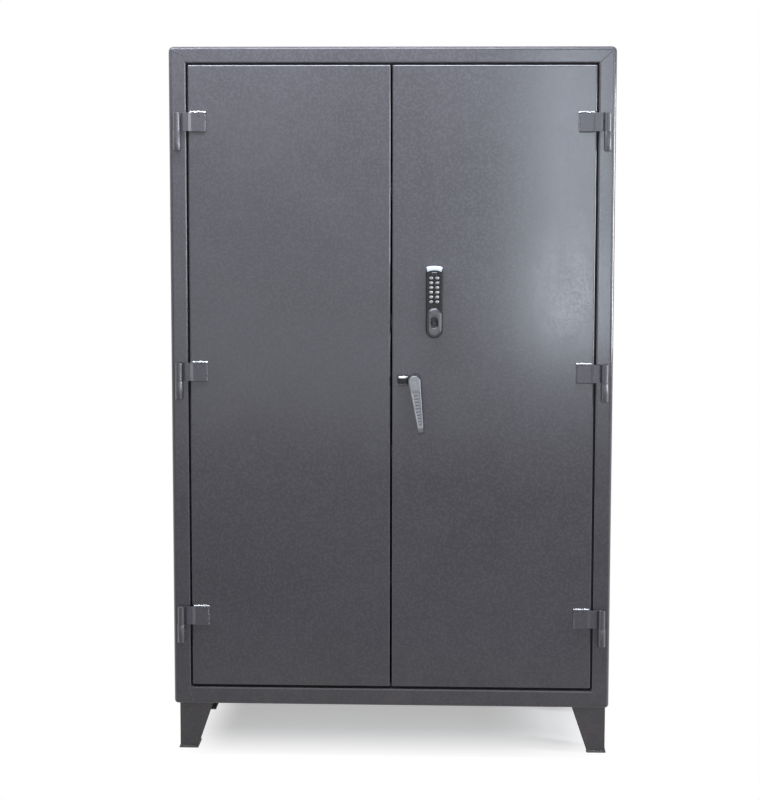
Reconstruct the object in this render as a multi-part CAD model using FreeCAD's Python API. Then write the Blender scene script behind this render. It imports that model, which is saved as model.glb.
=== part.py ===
import FreeCAD, Part
import math
import os

# A welded two-door steel cabinet on four legs, with a lever handle and a keypad lock.
# Millimetres. X runs to the right, Y to the back and Z up.
# The origin lies on the floor, midway between the four anchor holes of the feet.

# Body
cabinet_width = 1219.2
cabinet_depth = 609.6
body_height = 1828.8
leg_height = 152.4
sheet = 2.66
stile_face = 47.6
top_rail_face = 44.8
bottom_rail_face = 49.0
top_corner_radius = 14.0
bottom_corner_radius = 10.5
front_bend_radius = 7.34
doorway_edge_radius = 5.0
return_depth = 25.0
back_recess = 3.0
back_corner_extra = 2.0

# Door stops and their rubber bumpers
stop_thickness = 3.0
stop_reach = 12.0
stop_seat = 12.0
bumper_radius = 5.0
bumper_thickness = 2.4
bumper_place_shares = (0.15, 0.85)

# Legs and foot plates
leg_sheet = 4.55
leg_inset = 4.0
front_leg_setback = 88.0
back_leg_setback = 8.0
leg_top_width = 101.6
leg_bottom_width = 50.8
leg_top_depth = 110.0
leg_bottom_depth = 80.0
foot_thickness = 4.8
foot_overhang = 3.0
foot_width = 54.0
foot_depth = 84.0
anchor_hole_radius = 7.15

# Doors
door_gap = 4.5
door_bottom_gap = 6.5
door_depth = 22.0
door_bend_radius = 1.8
door_lip = 15.0
hat_width = 60.0
hat_brim = 15.0
hat_depth = 16.0
hat_sheet = 1.9
hat_end_gap = 8.0

# Hinges
hinge_end_distance = 228.6
pin_from_side = 22.5
pin_proud = 10.5
pin_radius = 5.5
pin_clearance = 0.05
pin_top_recess = 1.0
knuckle_length = 50.8
frame_knuckle_radius = 10.2
strap_knuckle_radius = 9.3
saddle_width = 9.0
strap_thickness = 4.8
strap_standoff = 4.0
strap_bend_end = 17.8
strap_step_start = 32.0
strap_step_length = 7.5
strap_reach = 76.0

# Lever handle
handle_from_edge = 62.75
handle_above_middle = 3.9
hub_radius = 17.0
hub_proud = 42.0
hub_gap = 0.4
lever_length = 147.5
lever_root_width = 33.4
lever_tip_width = 15.5
lever_thickness = 12.0
lever_tip_drop = 8.0
lever_tip_slope_length = 20.0
lever_edge_radius = 3.5
lever_lean_angle = 7.5
spindle_radius = 6.0
spindle_clearance = 0.05
spindle_socket_depth = 24.0
bushing_flange_radius = 15.5
bushing_flange_thickness = 5.0
bushing_radius = 11.0
bushing_hole_clearance = 0.3
nut_radius = 16.0
nut_sides = 6
nut_thickness = 6.0

# Padlock staple beside the handle
staple_bar_radius = 3.75
staple_width = 28.8
staple_hub_gap = 1.0
staple_proud = 24.0
staple_above_hub = 10.8
staple_bend_radius = 8.0
staple_plate_thickness = 3.0
staple_plate_height = 25.0
staple_plate_margin = 1.0

# Latch cam and rods
cam_pin_arm = 16.0
cam_pin_radius = 3.0
cam_pin_proud = 2.0
cam_radius = 24.0
cam_thickness = 4.0
cam_collar_radius = 11.0
cam_collar_length = 9.0
cam_rod_gap = 0.4
cam_start_angle = 45.0
fit_clearance = 0.03
tongue_width = 18.0
tongue_engagement = 13.0
rod_width = 25.4
rod_thickness = 4.76
rod_side_gap = 1.5
rod_stop_gap = 0.8
rod_slot_clearance = 0.65
rod_end_margin = 11.0
rod_tip_clearance = 2.0
rod_tip_bevel = 3.0
guide_wall = 3.0
guide_clearance = 0.5
guide_height = 30.0
guide_from_hub = 100.0
guide_from_tip = 60.0
strike_thickness = 1.5
strike_height = 90.0

# Keypad lock
keypad_from_handle = 53.5
knob_above_handle = 161.8
keypad_width = 46.5
keypad_depth = 26.0
keypad_above_knob = 155.3
keypad_below_knob = 43.0
keypad_top_sagitta = 4.0
keypad_edge_radius = 3.5
cap_height = 12.0
cap_proud = 1.6
key_columns = 2
key_rows = 6
key_column_pitch = 16.6
key_row_pitch = 13.0
top_row_above_knob = 122.4
key_width = 10.4
key_height = 7.8
key_proud = 2.6
key_body = 4.0
key_edge_radius = 1.6
key_clearance = 0.3
key_hole_depth = 8.0
label_width = 14.0
label_height = 3.0
label_above_keys = 15.0
light_radius = 1.4
light_spacing = 9.0
light_above_keys = 8.5
light_sink = 2.0
light_proud = 0.5
knob_width = 40.2
knob_height = 81.4
knob_thickness = 13.0
knob_gap = 0.3
knob_bevel = 6.5
knob_oval_width = 17.6
knob_oval_height = 27.0
knob_oval_depth = 4.0
knob_rim_bevel = 2.8
cylinder_radius = 7.5
cylinder_sink = 1.2
knob_web = 0.8
keyway_width = 2.0
keyway_height = 8.0
keyway_depth = 3.0
knob_spindle_radius = 4.0
knob_socket_depth = 3.0
inner_case_width = 48.0
inner_case_depth = 26.0
inner_case_edge_radius = 3.0
screw_radius = 2.5
screw_head_radius = 5.0
screw_head_height = 2.5
screw_bite = 12.0
screw_end_distance = 21.0
blocker_thickness = 4.0
blocker_width = 10.0
blocker_boss_radius = 8.0
blocker_rod_gap = 1.8
blocker_overlap = 18.0
blocker_collar_gap = 2.3
collar_depth = 8.0

# Inside of the body
standard_width = 28.0
standard_depth = 10.0
standard_sheet = 1.9
standard_end_gap = 16.0
standard_front_distance = 110.0
standard_back_distance = 70.0
slot_pitch = 50.8
slot_width = 5.0
slot_height = 14.0
slot_first = 40.0
shelf_count = 4
shelf_sheet = 1.9
shelf_flange = 38.0
shelf_side_gap = 1.5
shelf_front_distance = 64.0
shelf_back_gap = 6.0
shelf_edge_radius = 1.5
clip_thickness = 3.0
clip_width = 20.0
clip_reach = 18.0
clip_drop = 22.0

# Helpers for cuts and for finding edges
overrun = 5.0
match_tolerance = 0.01

# Places worked out from the sizes above
side_x = cabinet_width / 2
front_y = -(cabinet_depth + front_leg_setback - back_leg_setback) / 2
back_y = front_y + cabinet_depth
leg_face_y = front_y + front_leg_setback
body_bottom_z = leg_height
body_top_z = leg_height + body_height
body_middle_z = leg_height + body_height / 2
opening_x = side_x - stile_face
opening_bottom_z = body_bottom_z + bottom_rail_face
opening_top_z = body_top_z - top_rail_face
flange_end_y = front_y + return_depth
stop_back_y = flange_end_y + stop_thickness
door_edge_radius = door_bend_radius + sheet
door_inner_x = door_gap / 2
door_outer_x = opening_x - door_gap
door_bottom_z = opening_bottom_z + door_bottom_gap
door_top_z = opening_top_z - door_gap
door_back_y = front_y + door_depth
door_skin_y = front_y + sheet
pin_x = side_x - pin_from_side
pin_y = front_y - pin_proud
hinge_heights = (body_bottom_z + hinge_end_distance, body_middle_z, body_top_z - hinge_end_distance)
hub_x = door_inner_x + handle_from_edge
hub_z = body_middle_z + handle_above_middle
rod_front_y = stop_back_y + rod_stop_gap
rod_back_y = rod_front_y + rod_thickness
cam_back_y = rod_front_y - cam_rod_gap
cam_front_y = cam_back_y - cam_thickness
cam_pin_offset = cam_pin_arm * math.sin(math.radians(cam_start_angle))
rod_travel = 2 * cam_pin_offset
lock_x = hub_x + keypad_from_handle
knob_z = hub_z + knob_above_handle
keypad_top_z = knob_z + keypad_above_knob
keypad_front_y = front_y - keypad_depth
knob_back_y = keypad_front_y - knob_gap
knob_front_y = knob_back_y - knob_thickness
cylinder_front_y = knob_front_y + cylinder_sink
cylinder_back_y = knob_back_y - knob_socket_depth - knob_web
inner_case_back_y = door_skin_y + inner_case_depth
blocker_front_y = rod_back_y + blocker_rod_gap
blocker_back_y = blocker_front_y + blocker_thickness


def vec(x, y, z):
    return FreeCAD.Vector(x, y, z)


def block(x0, x1, y0, y1, z0, z1):
    return Part.makeBox(x1 - x0, y1 - y0, z1 - z0, vec(x0, y0, z0))


def rod_along_y(x, z, radius, y0, y1):
    return Part.makeCylinder(radius, y1 - y0, vec(x, y0, z), vec(0, 1, 0))


def rod_along_z(x, y, radius, z0, z1):
    return Part.makeCylinder(radius, z1 - z0, vec(x, y, z0), vec(0, 0, 1))


def prism_along_x(points, x0, x1):
    # The points are (y, z) pairs.
    outline = Part.makePolygon([vec(x0, y, z) for y, z in points + points[:1]])
    return Part.Face(outline).extrude(vec(x1 - x0, 0, 0))


def prism_along_y(points, y0, y1):
    # The points are (x, z) pairs.
    outline = Part.makePolygon([vec(x, y0, z) for x, z in points + points[:1]])
    return Part.Face(outline).extrude(vec(0, y1 - y0, 0))


def prism_along_z(points, z0, z1):
    # The points are (x, y) pairs.
    outline = Part.makePolygon([vec(x, y, z0) for x, y in points + points[:1]])
    return Part.Face(outline).extrude(vec(0, 0, z1 - z0))


def slot_along_y(x, z, width, height, y0, y1):
    # A slab with round ends, standing upright when it is taller than wide.
    radius = min(width, height) / 2
    run_x = width / 2 - radius
    run_z = height / 2 - radius
    middle = block(x - run_x - (radius if run_z else 0), x + run_x + (radius if run_z else 0),
                   y0, y1,
                   z - run_z - (radius if run_x else 0), z + run_z + (radius if run_x else 0))
    first_end = rod_along_y(x - run_x, z - run_z, radius, y0, y1)
    second_end = rod_along_y(x + run_x, z + run_z, radius, y0, y1)
    return middle.fuse([first_end, second_end]).removeSplitter()


def mirror_x(shape):
    return shape.mirror(vec(0, 0, 0), vec(1, 0, 0))


def mirror_y(shape):
    return shape.mirror(vec(0, 0, 0), vec(0, 1, 0))


def near(a, b):
    return abs(a - b) < match_tolerance


def edges_in_plane_y(shape, y):
    return [edge for edge in shape.Edges
            if near(edge.BoundBox.YMin, y) and near(edge.BoundBox.YMax, y)]


def edges_parallel_to_y(shape):
    return [edge for edge in shape.Edges
            if near(edge.BoundBox.XLength, 0) and near(edge.BoundBox.ZLength, 0)]


def rounded_block(x0, x1, y0, y1, z0, z1, low_radius, high_radius):
    # A block whose edges along Y are round, with one radius below and one above.
    shape = block(x0, x1, y0, y1, z0, z1)
    middle = (z0 + z1) / 2
    low_edges = [edge for edge in edges_parallel_to_y(shape) if edge.BoundBox.ZMax < middle]
    shape = shape.makeFillet(low_radius, low_edges)
    high_edges = [edge for edge in edges_parallel_to_y(shape)
                  if edge.BoundBox.ZMin > middle and near(edge.BoundBox.YLength, y1 - y0)
                  and (near(edge.BoundBox.XMin, x0) or near(edge.BoundBox.XMax, x1))
                  and near(edge.BoundBox.ZMax, z1)]
    return shape.makeFillet(high_radius, high_edges)


# Body panels

def round_doorway(shape):
    # Where the front turns back into the returns, the bend is round.
    edges = [edge for edge in edges_in_plane_y(shape, front_y)
             if edge.BoundBox.XMin > -opening_x - match_tolerance
             and edge.BoundBox.XMax < opening_x + match_tolerance]
    return shape.makeFillet(doorway_edge_radius, edges)


def body_shell():
    shell = rounded_block(-side_x, side_x, front_y, back_y, body_bottom_z, body_top_z,
                          bottom_corner_radius, top_corner_radius)
    shell = shell.makeFillet(front_bend_radius + sheet, edges_in_plane_y(shell, front_y))
    cavity = rounded_block(-side_x + sheet, side_x - sheet, front_y + sheet, back_y + overrun,
                           body_bottom_z + sheet, body_top_z - sheet,
                           bottom_corner_radius - sheet, top_corner_radius - sheet)
    cavity = cavity.makeFillet(front_bend_radius, edges_in_plane_y(cavity, front_y + sheet))
    opening = block(-opening_x, opening_x, front_y - overrun, front_y + sheet + overrun,
                    opening_bottom_z, opening_top_z)
    return_outside = block(-opening_x - sheet, opening_x + sheet, front_y + sheet, flange_end_y,
                           opening_bottom_z - sheet, opening_top_z + sheet)
    return_inside = block(-opening_x, opening_x, front_y, flange_end_y + overrun,
                          opening_bottom_z, opening_top_z)
    flange = return_outside.cut(return_inside)
    return shell.cut(cavity).cut(opening).fuse(flange).removeSplitter()


def top_region():
    # The part of the body above the two corner mitres.
    rise = overrun * top_rail_face / stile_face
    points = [(-side_x - overrun, body_top_z + rise),
              (-opening_x, opening_top_z),
              (opening_x, opening_top_z),
              (side_x + overrun, body_top_z + rise)]
    return prism_along_y(points, front_y - overrun, back_y + overrun)


def body_panels():
    shell = body_shell()
    above = top_region()
    top = round_doorway(shell.common(above))
    rest = round_doorway(shell.cut(above))
    left = block(-side_x - overrun, -opening_x, front_y - overrun, back_y + overrun,
                 body_bottom_z - overrun, body_top_z + overrun)
    between = block(-opening_x, opening_x, front_y - overrun, back_y + overrun,
                    body_bottom_z - overrun, body_middle_z)
    side_left = rest.common(left)
    return {
        "side_panel_left": side_left,
        "side_panel_right": mirror_x(side_left),
        "top_panel": top,
        "bottom_panel": rest.common(between),
    }


def back_panel():
    return rounded_block(-side_x + sheet, side_x - sheet,
                         back_y - back_recess - sheet, back_y - back_recess,
                         body_bottom_z + sheet, body_top_z - sheet,
                         bottom_corner_radius - sheet + back_corner_extra,
                         top_corner_radius - sheet + back_corner_extra)


def door_stops():
    wide_x = opening_x + stop_seat
    low_inner_z = opening_bottom_z + stop_reach
    high_inner_z = opening_top_z - stop_reach
    bottom = block(-wide_x, wide_x, flange_end_y, stop_back_y, opening_bottom_z - stop_seat, low_inner_z)
    top = block(-wide_x, wide_x, flange_end_y, stop_back_y, high_inner_z, opening_top_z + stop_seat)
    left = block(-wide_x, -opening_x + stop_reach, flange_end_y, stop_back_y, low_inner_z, high_inner_z)
    return [bottom, top, left, mirror_x(left)]


def stop_bumpers():
    door_width = door_outer_x - door_inner_x
    bumpers = []
    edge_distance = (stop_reach + door_gap) / 2
    for z in (opening_bottom_z + edge_distance, opening_top_z - edge_distance):
        for share in bumper_place_shares:
            x = door_inner_x + share * door_width
            bumper = rod_along_y(x, z, bumper_radius, flange_end_y - bumper_thickness, flange_end_y)
            bumpers += [bumper, mirror_x(bumper)]
    return bumpers


# Legs

def front_left_leg():
    outer_x = -side_x + leg_inset
    face = prism_along_y([(outer_x, foot_thickness), (outer_x + leg_bottom_width, foot_thickness),
                          (outer_x + leg_top_width, leg_height), (outer_x, leg_height)],
                         leg_face_y, leg_face_y + leg_sheet)
    side = prism_along_x([(leg_face_y, foot_thickness), (leg_face_y + leg_bottom_depth, foot_thickness),
                          (leg_face_y + leg_top_depth, leg_height), (leg_face_y, leg_height)],
                         outer_x, outer_x + leg_sheet)
    pad = block(outer_x, outer_x + leg_top_width, leg_face_y, leg_face_y + leg_top_depth,
                leg_height - leg_sheet, leg_height)
    return face.fuse([side, pad]).removeSplitter()


def front_left_foot():
    outer_x = -side_x + leg_inset - foot_overhang
    plate = block(outer_x, outer_x + foot_width, leg_face_y, leg_face_y + foot_depth, 0, foot_thickness)
    hole = rod_along_z(outer_x + foot_width / 2, leg_face_y + foot_depth / 2, anchor_hole_radius,
                       -overrun, foot_thickness + overrun)
    return plate.cut(hole)


def four_corners(front_left):
    front_right = mirror_x(front_left)
    return [front_left, front_right, mirror_y(front_left), mirror_y(front_right)]


# Doors and hinges

def door_pan(x0, x1):
    pan = block(x0, x1, front_y, door_back_y, door_bottom_z, door_top_z)
    round_edges = edges_in_plane_y(pan, front_y) + edges_parallel_to_y(pan)
    pan = pan.makeFillet(door_edge_radius, round_edges)
    hollow = block(x0 + sheet, x1 - sheet, door_skin_y, door_back_y - sheet,
                   door_bottom_z + sheet, door_top_z - sheet)
    inner_edges = edges_in_plane_y(hollow, door_skin_y) + edges_parallel_to_y(hollow)
    hollow = hollow.makeFillet(door_bend_radius, inner_edges)
    window = block(x0 + door_lip, x1 - door_lip, door_skin_y, door_back_y + overrun,
                   door_bottom_z + door_lip, door_top_z - door_lip)
    return pan.cut(hollow).cut(window)


def door_stiffener(middle_x):
    half = hat_width / 2
    inner = half - hat_brim
    crown_y = door_skin_y + hat_depth
    points = [(-half, door_skin_y), (-inner + hat_sheet, door_skin_y),
              (-inner + hat_sheet, crown_y - hat_sheet), (inner - hat_sheet, crown_y - hat_sheet),
              (inner - hat_sheet, door_skin_y), (half, door_skin_y),
              (half, door_skin_y + hat_sheet), (inner, door_skin_y + hat_sheet),
              (inner, crown_y), (-inner, crown_y),
              (-inner, door_skin_y + hat_sheet), (-half, door_skin_y + hat_sheet)]
    placed = [(middle_x + x, y) for x, y in points]
    return prism_along_z(placed, door_bottom_z + sheet + hat_end_gap, door_top_z - sheet - hat_end_gap)


def hinge_strap_left(z):
    # From the back of its knuckle the strap bends out over the gap, then steps down onto the door.
    root = pin_y + strap_knuckle_radius
    root_x = -pin_x + strap_knuckle_radius
    bend_x = -pin_x + strap_bend_end
    back = front_y - strap_standoff
    step_x = -pin_x + strap_step_start
    flat_x = step_x + strap_step_length
    end_x = -pin_x + strap_reach
    points = [(-pin_x, root), (root_x, root), (bend_x, back), (step_x, back),
              (flat_x, front_y), (end_x, front_y),
              (end_x, front_y - strap_thickness), (flat_x, front_y - strap_thickness),
              (step_x, back - strap_thickness), (bend_x, back - strap_thickness),
              (root_x, root - strap_thickness), (-pin_x, root - strap_thickness)]
    leaf = prism_along_z(points, z, z + knuckle_length)
    knuckle = rod_along_z(-pin_x, pin_y, strap_knuckle_radius, z, z + knuckle_length)
    bore = rod_along_z(-pin_x, pin_y, pin_radius + pin_clearance, z - overrun, z + knuckle_length + overrun)
    return leaf.fuse(knuckle).cut(bore).removeSplitter()


def frame_knuckle_left(z):
    knuckle = rod_along_z(-pin_x, pin_y, frame_knuckle_radius, z - knuckle_length, z)
    saddle = block(-pin_x - saddle_width / 2, -pin_x + saddle_width / 2, pin_y, front_y,
                   z - knuckle_length, z)
    bore = rod_along_z(-pin_x, pin_y, pin_radius + pin_clearance, z - knuckle_length - overrun, z + overrun)
    return knuckle.fuse(saddle).cut(bore).removeSplitter()


def hinge_pin_left(z):
    return rod_along_z(-pin_x, pin_y, pin_radius, z - knuckle_length, z + knuckle_length - pin_top_recess)


def door_strike():
    return block(-door_inner_x - door_lip, -door_inner_x, door_back_y, door_back_y + strike_thickness,
                 hub_z - strike_height / 2, hub_z + strike_height / 2)


def right_door_panel():
    panel = door_pan(door_inner_x, door_outer_x)
    hole_depth = (front_y - overrun, door_skin_y + overrun)
    bushing_hole = rod_along_y(hub_x, hub_z, bushing_radius, *hole_depth)
    spindle_hole = rod_along_y(lock_x, knob_z, knob_spindle_radius + key_clearance, *hole_depth)
    screw_holes = [rod_along_y(lock_x, z, screw_radius + fit_clearance, *hole_depth)
                   for z in lock_screw_heights()]
    return panel.cut([bushing_hole, spindle_hole] + screw_holes)


# Handle and padlock staple

def lever_handle():
    top_y = front_y - hub_proud
    hub = rod_along_y(hub_x, hub_z, hub_radius, top_y, front_y - bushing_flange_thickness - hub_gap)
    tip_z = hub_z - lever_length + lever_tip_width / 2
    arm = prism_along_y([(hub_x - lever_root_width / 2, hub_z), (hub_x - lever_tip_width / 2, tip_z),
                         (hub_x + lever_tip_width / 2, tip_z), (hub_x + lever_root_width / 2, hub_z)],
                        top_y, top_y + lever_thickness + lever_tip_drop)
    tip = rod_along_y(hub_x, tip_z, lever_tip_width / 2, top_y, top_y + lever_thickness + lever_tip_drop)
    slope_z = hub_z - lever_length + lever_tip_slope_length
    end_z = hub_z - lever_length
    side = prism_along_x([(top_y, hub_z), (top_y, slope_z), (top_y + lever_tip_drop, end_z),
                          (top_y + lever_thickness + lever_tip_drop, end_z),
                          (top_y + lever_thickness, slope_z), (top_y + lever_thickness, hub_z)],
                         hub_x - lever_root_width, hub_x + lever_root_width)
    lever = arm.fuse(tip).common(side).fuse(hub).removeSplitter()
    front_edges = edges_in_plane_y(lever, top_y)
    front_edges = [edge for edge in front_edges if not near(edge.BoundBox.ZMax, slope_z)]
    lever = lever.makeFillet(min(lever_edge_radius, lever_thickness / 3), front_edges)
    socket = rod_along_y(hub_x, hub_z, spindle_radius + fit_clearance,
                         top_y + hub_proud - bushing_flange_thickness - spindle_socket_depth, front_y)
    lever = lever.cut(socket)
    lever.rotate(vec(hub_x, 0, hub_z), vec(0, -1, 0), lever_lean_angle)
    return lever


def handle_spindle():
    start_y = front_y - bushing_flange_thickness - spindle_socket_depth
    return rod_along_y(hub_x, hub_z, spindle_radius, start_y, cam_back_y)


def handle_bushing():
    flange = rod_along_y(hub_x, hub_z, bushing_flange_radius, front_y - bushing_flange_thickness, front_y)
    barrel = rod_along_y(hub_x, hub_z, bushing_radius - bushing_hole_clearance,
                         front_y, door_skin_y + nut_thickness)
    bore = rod_along_y(hub_x, hub_z, spindle_radius + spindle_clearance,
                       front_y - bushing_flange_thickness - overrun, door_skin_y + nut_thickness + overrun)
    return flange.fuse(barrel).cut(bore).removeSplitter()


def bushing_nut():
    corners = [(hub_x + nut_radius * math.cos(2 * math.pi * i / nut_sides),
                hub_z + nut_radius * math.sin(2 * math.pi * i / nut_sides)) for i in range(nut_sides)]
    nut = prism_along_y(corners, door_skin_y, door_skin_y + nut_thickness)
    return nut.cut(rod_along_y(hub_x, hub_z, bushing_radius, door_skin_y - overrun,
                               door_skin_y + nut_thickness + overrun))


def padlock_staple():
    right_x = hub_x - hub_radius - staple_hub_gap - staple_bar_radius
    left_x = right_x - staple_width + 2 * staple_bar_radius
    bar_y = front_y - staple_proud + staple_bar_radius
    bar_z = hub_z + staple_above_hub
    base_y = front_y - staple_plate_thickness
    bend = staple_bend_radius
    tilt = bend * math.sin(math.radians(45))
    left_foot = vec(left_x, base_y, bar_z)
    left_shoulder = vec(left_x, bar_y + bend, bar_z)
    left_end = vec(left_x + bend, bar_y, bar_z)
    right_end = vec(right_x - bend, bar_y, bar_z)
    right_shoulder = vec(right_x, bar_y + bend, bar_z)
    right_foot = vec(right_x, base_y, bar_z)
    left_middle = vec(left_x + bend - tilt, bar_y + bend - tilt, bar_z)
    right_middle = vec(right_x - bend + tilt, bar_y + bend - tilt, bar_z)
    path = Part.Wire([Part.LineSegment(left_foot, left_shoulder).toShape(),
                      Part.Arc(left_shoulder, left_middle, left_end).toShape(),
                      Part.LineSegment(left_end, right_end).toShape(),
                      Part.Arc(right_end, right_middle, right_shoulder).toShape(),
                      Part.LineSegment(right_shoulder, right_foot).toShape()])
    section = Part.Wire([Part.makeCircle(staple_bar_radius, left_foot, vec(0, 1, 0))])
    bar = path.makePipeShell([section], True, False)
    plate = block(left_x - staple_bar_radius - staple_plate_margin, right_x + staple_bar_radius,
                  base_y, front_y,
                  bar_z + staple_bar_radius + staple_plate_margin - staple_plate_height,
                  bar_z + staple_bar_radius + staple_plate_margin)
    return bar.fuse(plate).removeSplitter()


# Latch cam, rods and guides

def cam_pin_places():
    # First the pin that drives the upper rod, then the one that drives the lower rod.
    return ((hub_x + cam_pin_offset, hub_z - cam_pin_offset),
            (hub_x - cam_pin_offset, hub_z + cam_pin_offset))


def latch_cam():
    nose_z = hub_z + handle_from_edge + door_gap + tongue_engagement - tongue_width / 2
    disc = rod_along_y(hub_x, hub_z, cam_radius, cam_front_y, cam_back_y)
    tongue = block(hub_x - tongue_width / 2, hub_x + tongue_width / 2, cam_front_y, cam_back_y,
                   hub_z, nose_z)
    nose = rod_along_y(hub_x, nose_z, tongue_width / 2, cam_front_y, cam_back_y)
    collar = rod_along_y(hub_x, hub_z, cam_collar_radius, cam_front_y - cam_collar_length, cam_front_y)
    cam = disc.fuse([tongue, nose, collar]).removeSplitter()
    holes = [rod_along_y(hub_x, hub_z, spindle_radius + fit_clearance,
                         cam_front_y - cam_collar_length - overrun, cam_back_y + overrun)]
    for x, z in cam_pin_places():
        holes.append(rod_along_y(x, z, cam_pin_radius + fit_clearance,
                                 cam_front_y - overrun, cam_back_y + overrun))
    return cam.cut(holes)


def cam_pins():
    return [rod_along_y(x, z, cam_pin_radius, cam_front_y, rod_back_y + cam_pin_proud)
            for x, z in cam_pin_places()]


def rod_slot(side, z):
    # side is 1 for the upper rod and -1 for the lower one.
    half_height = cam_pin_radius + rod_slot_clearance
    inner = cam_pin_offset - half_height
    outer = cam_pin_arm + half_height
    return slot_along_y(hub_x + side * (inner + outer) / 2, z, outer - inner, 2 * half_height,
                        rod_front_y - overrun, rod_back_y + overrun)


def upper_rod():
    low_z = hub_z - cam_pin_offset - rod_end_margin
    tip_z = opening_top_z - stop_reach - rod_tip_clearance
    x0 = hub_x + rod_side_gap
    bar = block(x0, x0 + rod_width, rod_front_y, rod_back_y, low_z, tip_z)
    bevel = prism_along_x([(rod_front_y - overrun, tip_z + overrun),
                           (rod_front_y - overrun, tip_z - rod_tip_bevel),
                           (rod_front_y, tip_z - rod_tip_bevel), (rod_front_y + rod_tip_bevel, tip_z),
                           (rod_front_y + rod_tip_bevel, tip_z + overrun)],
                          x0 - overrun, x0 + rod_width + overrun)
    return bar.cut([bevel, rod_slot(1, hub_z - cam_pin_offset)])


def lower_rod():
    tip_z = opening_bottom_z + stop_reach + rod_tip_clearance
    high_z = hub_z + cam_pin_offset + rod_end_margin
    x1 = hub_x - rod_side_gap
    bar = block(x1 - rod_width, x1, rod_front_y, rod_back_y, tip_z, high_z)
    bevel = prism_along_x([(rod_front_y - overrun, tip_z - overrun),
                           (rod_front_y - overrun, tip_z + rod_tip_bevel),
                           (rod_front_y, tip_z + rod_tip_bevel), (rod_front_y + rod_tip_bevel, tip_z),
                           (rod_front_y + rod_tip_bevel, tip_z - overrun)],
                          x1 - rod_width - overrun, x1 + overrun)
    return bar.cut([bevel, rod_slot(-1, hub_z + cam_pin_offset)])


def rod_collar():
    # The keypad's blocking cam swings in above this collar, or below it once the rod is up.
    height = rod_travel - blocker_width - 2 * blocker_collar_gap
    high_z = knob_z - blocker_width / 2 - blocker_collar_gap
    x0 = hub_x + rod_side_gap
    return block(x0, x0 + rod_width, rod_back_y, rod_back_y + collar_depth, high_z - height, high_z)


def rod_guide(bar_x0, z):
    bar_x1 = bar_x0 + rod_width
    outer_x0 = bar_x0 - guide_clearance - guide_wall
    outer_x1 = bar_x1 + guide_clearance + guide_wall
    front = rod_front_y - guide_clearance
    back = rod_back_y + guide_clearance
    z0 = z - guide_height / 2
    z1 = z + guide_height / 2
    body = block(outer_x0, outer_x1, door_skin_y, back + guide_wall, z0, z1)
    passage = block(bar_x0 - guide_clearance, bar_x1 + guide_clearance, front, back,
                    z0 - overrun, z1 + overrun)
    hollow = block(bar_x0 - guide_clearance, bar_x1 + guide_clearance,
                   door_skin_y + guide_wall, front - guide_wall, z0 - overrun, z1 + overrun)
    return body.cut([passage, hollow])


def rod_guides():
    upper_x = hub_x + rod_side_gap
    lower_x = hub_x - rod_side_gap - rod_width
    upper_tip_z = opening_top_z - stop_reach
    lower_tip_z = opening_bottom_z + stop_reach
    return [rod_guide(upper_x, hub_z + guide_from_hub), rod_guide(upper_x, upper_tip_z - guide_from_tip),
            rod_guide(lower_x, hub_z - guide_from_hub), rod_guide(lower_x, lower_tip_z + guide_from_tip)]


# Keypad lock

def lock_screw_heights():
    return (knob_z - keypad_below_knob + screw_end_distance, keypad_top_z - screw_end_distance)


def key_places():
    places = []
    for row in range(key_rows):
        for column in range(key_columns):
            x = lock_x + (column - (key_columns - 1) / 2) * key_column_pitch
            places.append((x, knob_z + top_row_above_knob - row * key_row_pitch))
    return places


def crowned_outline(half_width, low_z, high_z, sagitta, y):
    # Straight sides, a half round foot and a shallow arc on top.
    foot_z = low_z + half_width
    shoulder_z = high_z - sagitta
    left_side = Part.LineSegment(vec(lock_x - half_width, y, foot_z),
                                 vec(lock_x - half_width, y, shoulder_z))
    crown = Part.Arc(vec(lock_x - half_width, y, shoulder_z), vec(lock_x, y, high_z),
                     vec(lock_x + half_width, y, shoulder_z))
    right_side = Part.LineSegment(vec(lock_x + half_width, y, shoulder_z),
                                  vec(lock_x + half_width, y, foot_z))
    foot = Part.Arc(vec(lock_x + half_width, y, foot_z), vec(lock_x, y, low_z),
                    vec(lock_x - half_width, y, foot_z))
    return Part.Wire([left_side.toShape(), crown.toShape(), right_side.toShape(), foot.toShape()])


def keypad_body():
    outline = crowned_outline(keypad_width / 2, knob_z - keypad_below_knob, keypad_top_z,
                              keypad_top_sagitta, keypad_front_y)
    return Part.Face(outline).extrude(vec(0, keypad_depth, 0))


def cap_band():
    # The region of the bright cap on the housing's upper end.
    radius = (keypad_width / 2) ** 2 / (2 * keypad_top_sagitta) + keypad_top_sagitta / 2
    outer = rod_along_y(lock_x, keypad_top_z - radius, radius + overrun, keypad_front_y - overrun, front_y)
    inner = rod_along_y(lock_x, keypad_top_z - radius, radius - cap_height,
                        keypad_front_y - overrun - overrun, front_y + overrun)
    return outer.cut(inner)


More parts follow.
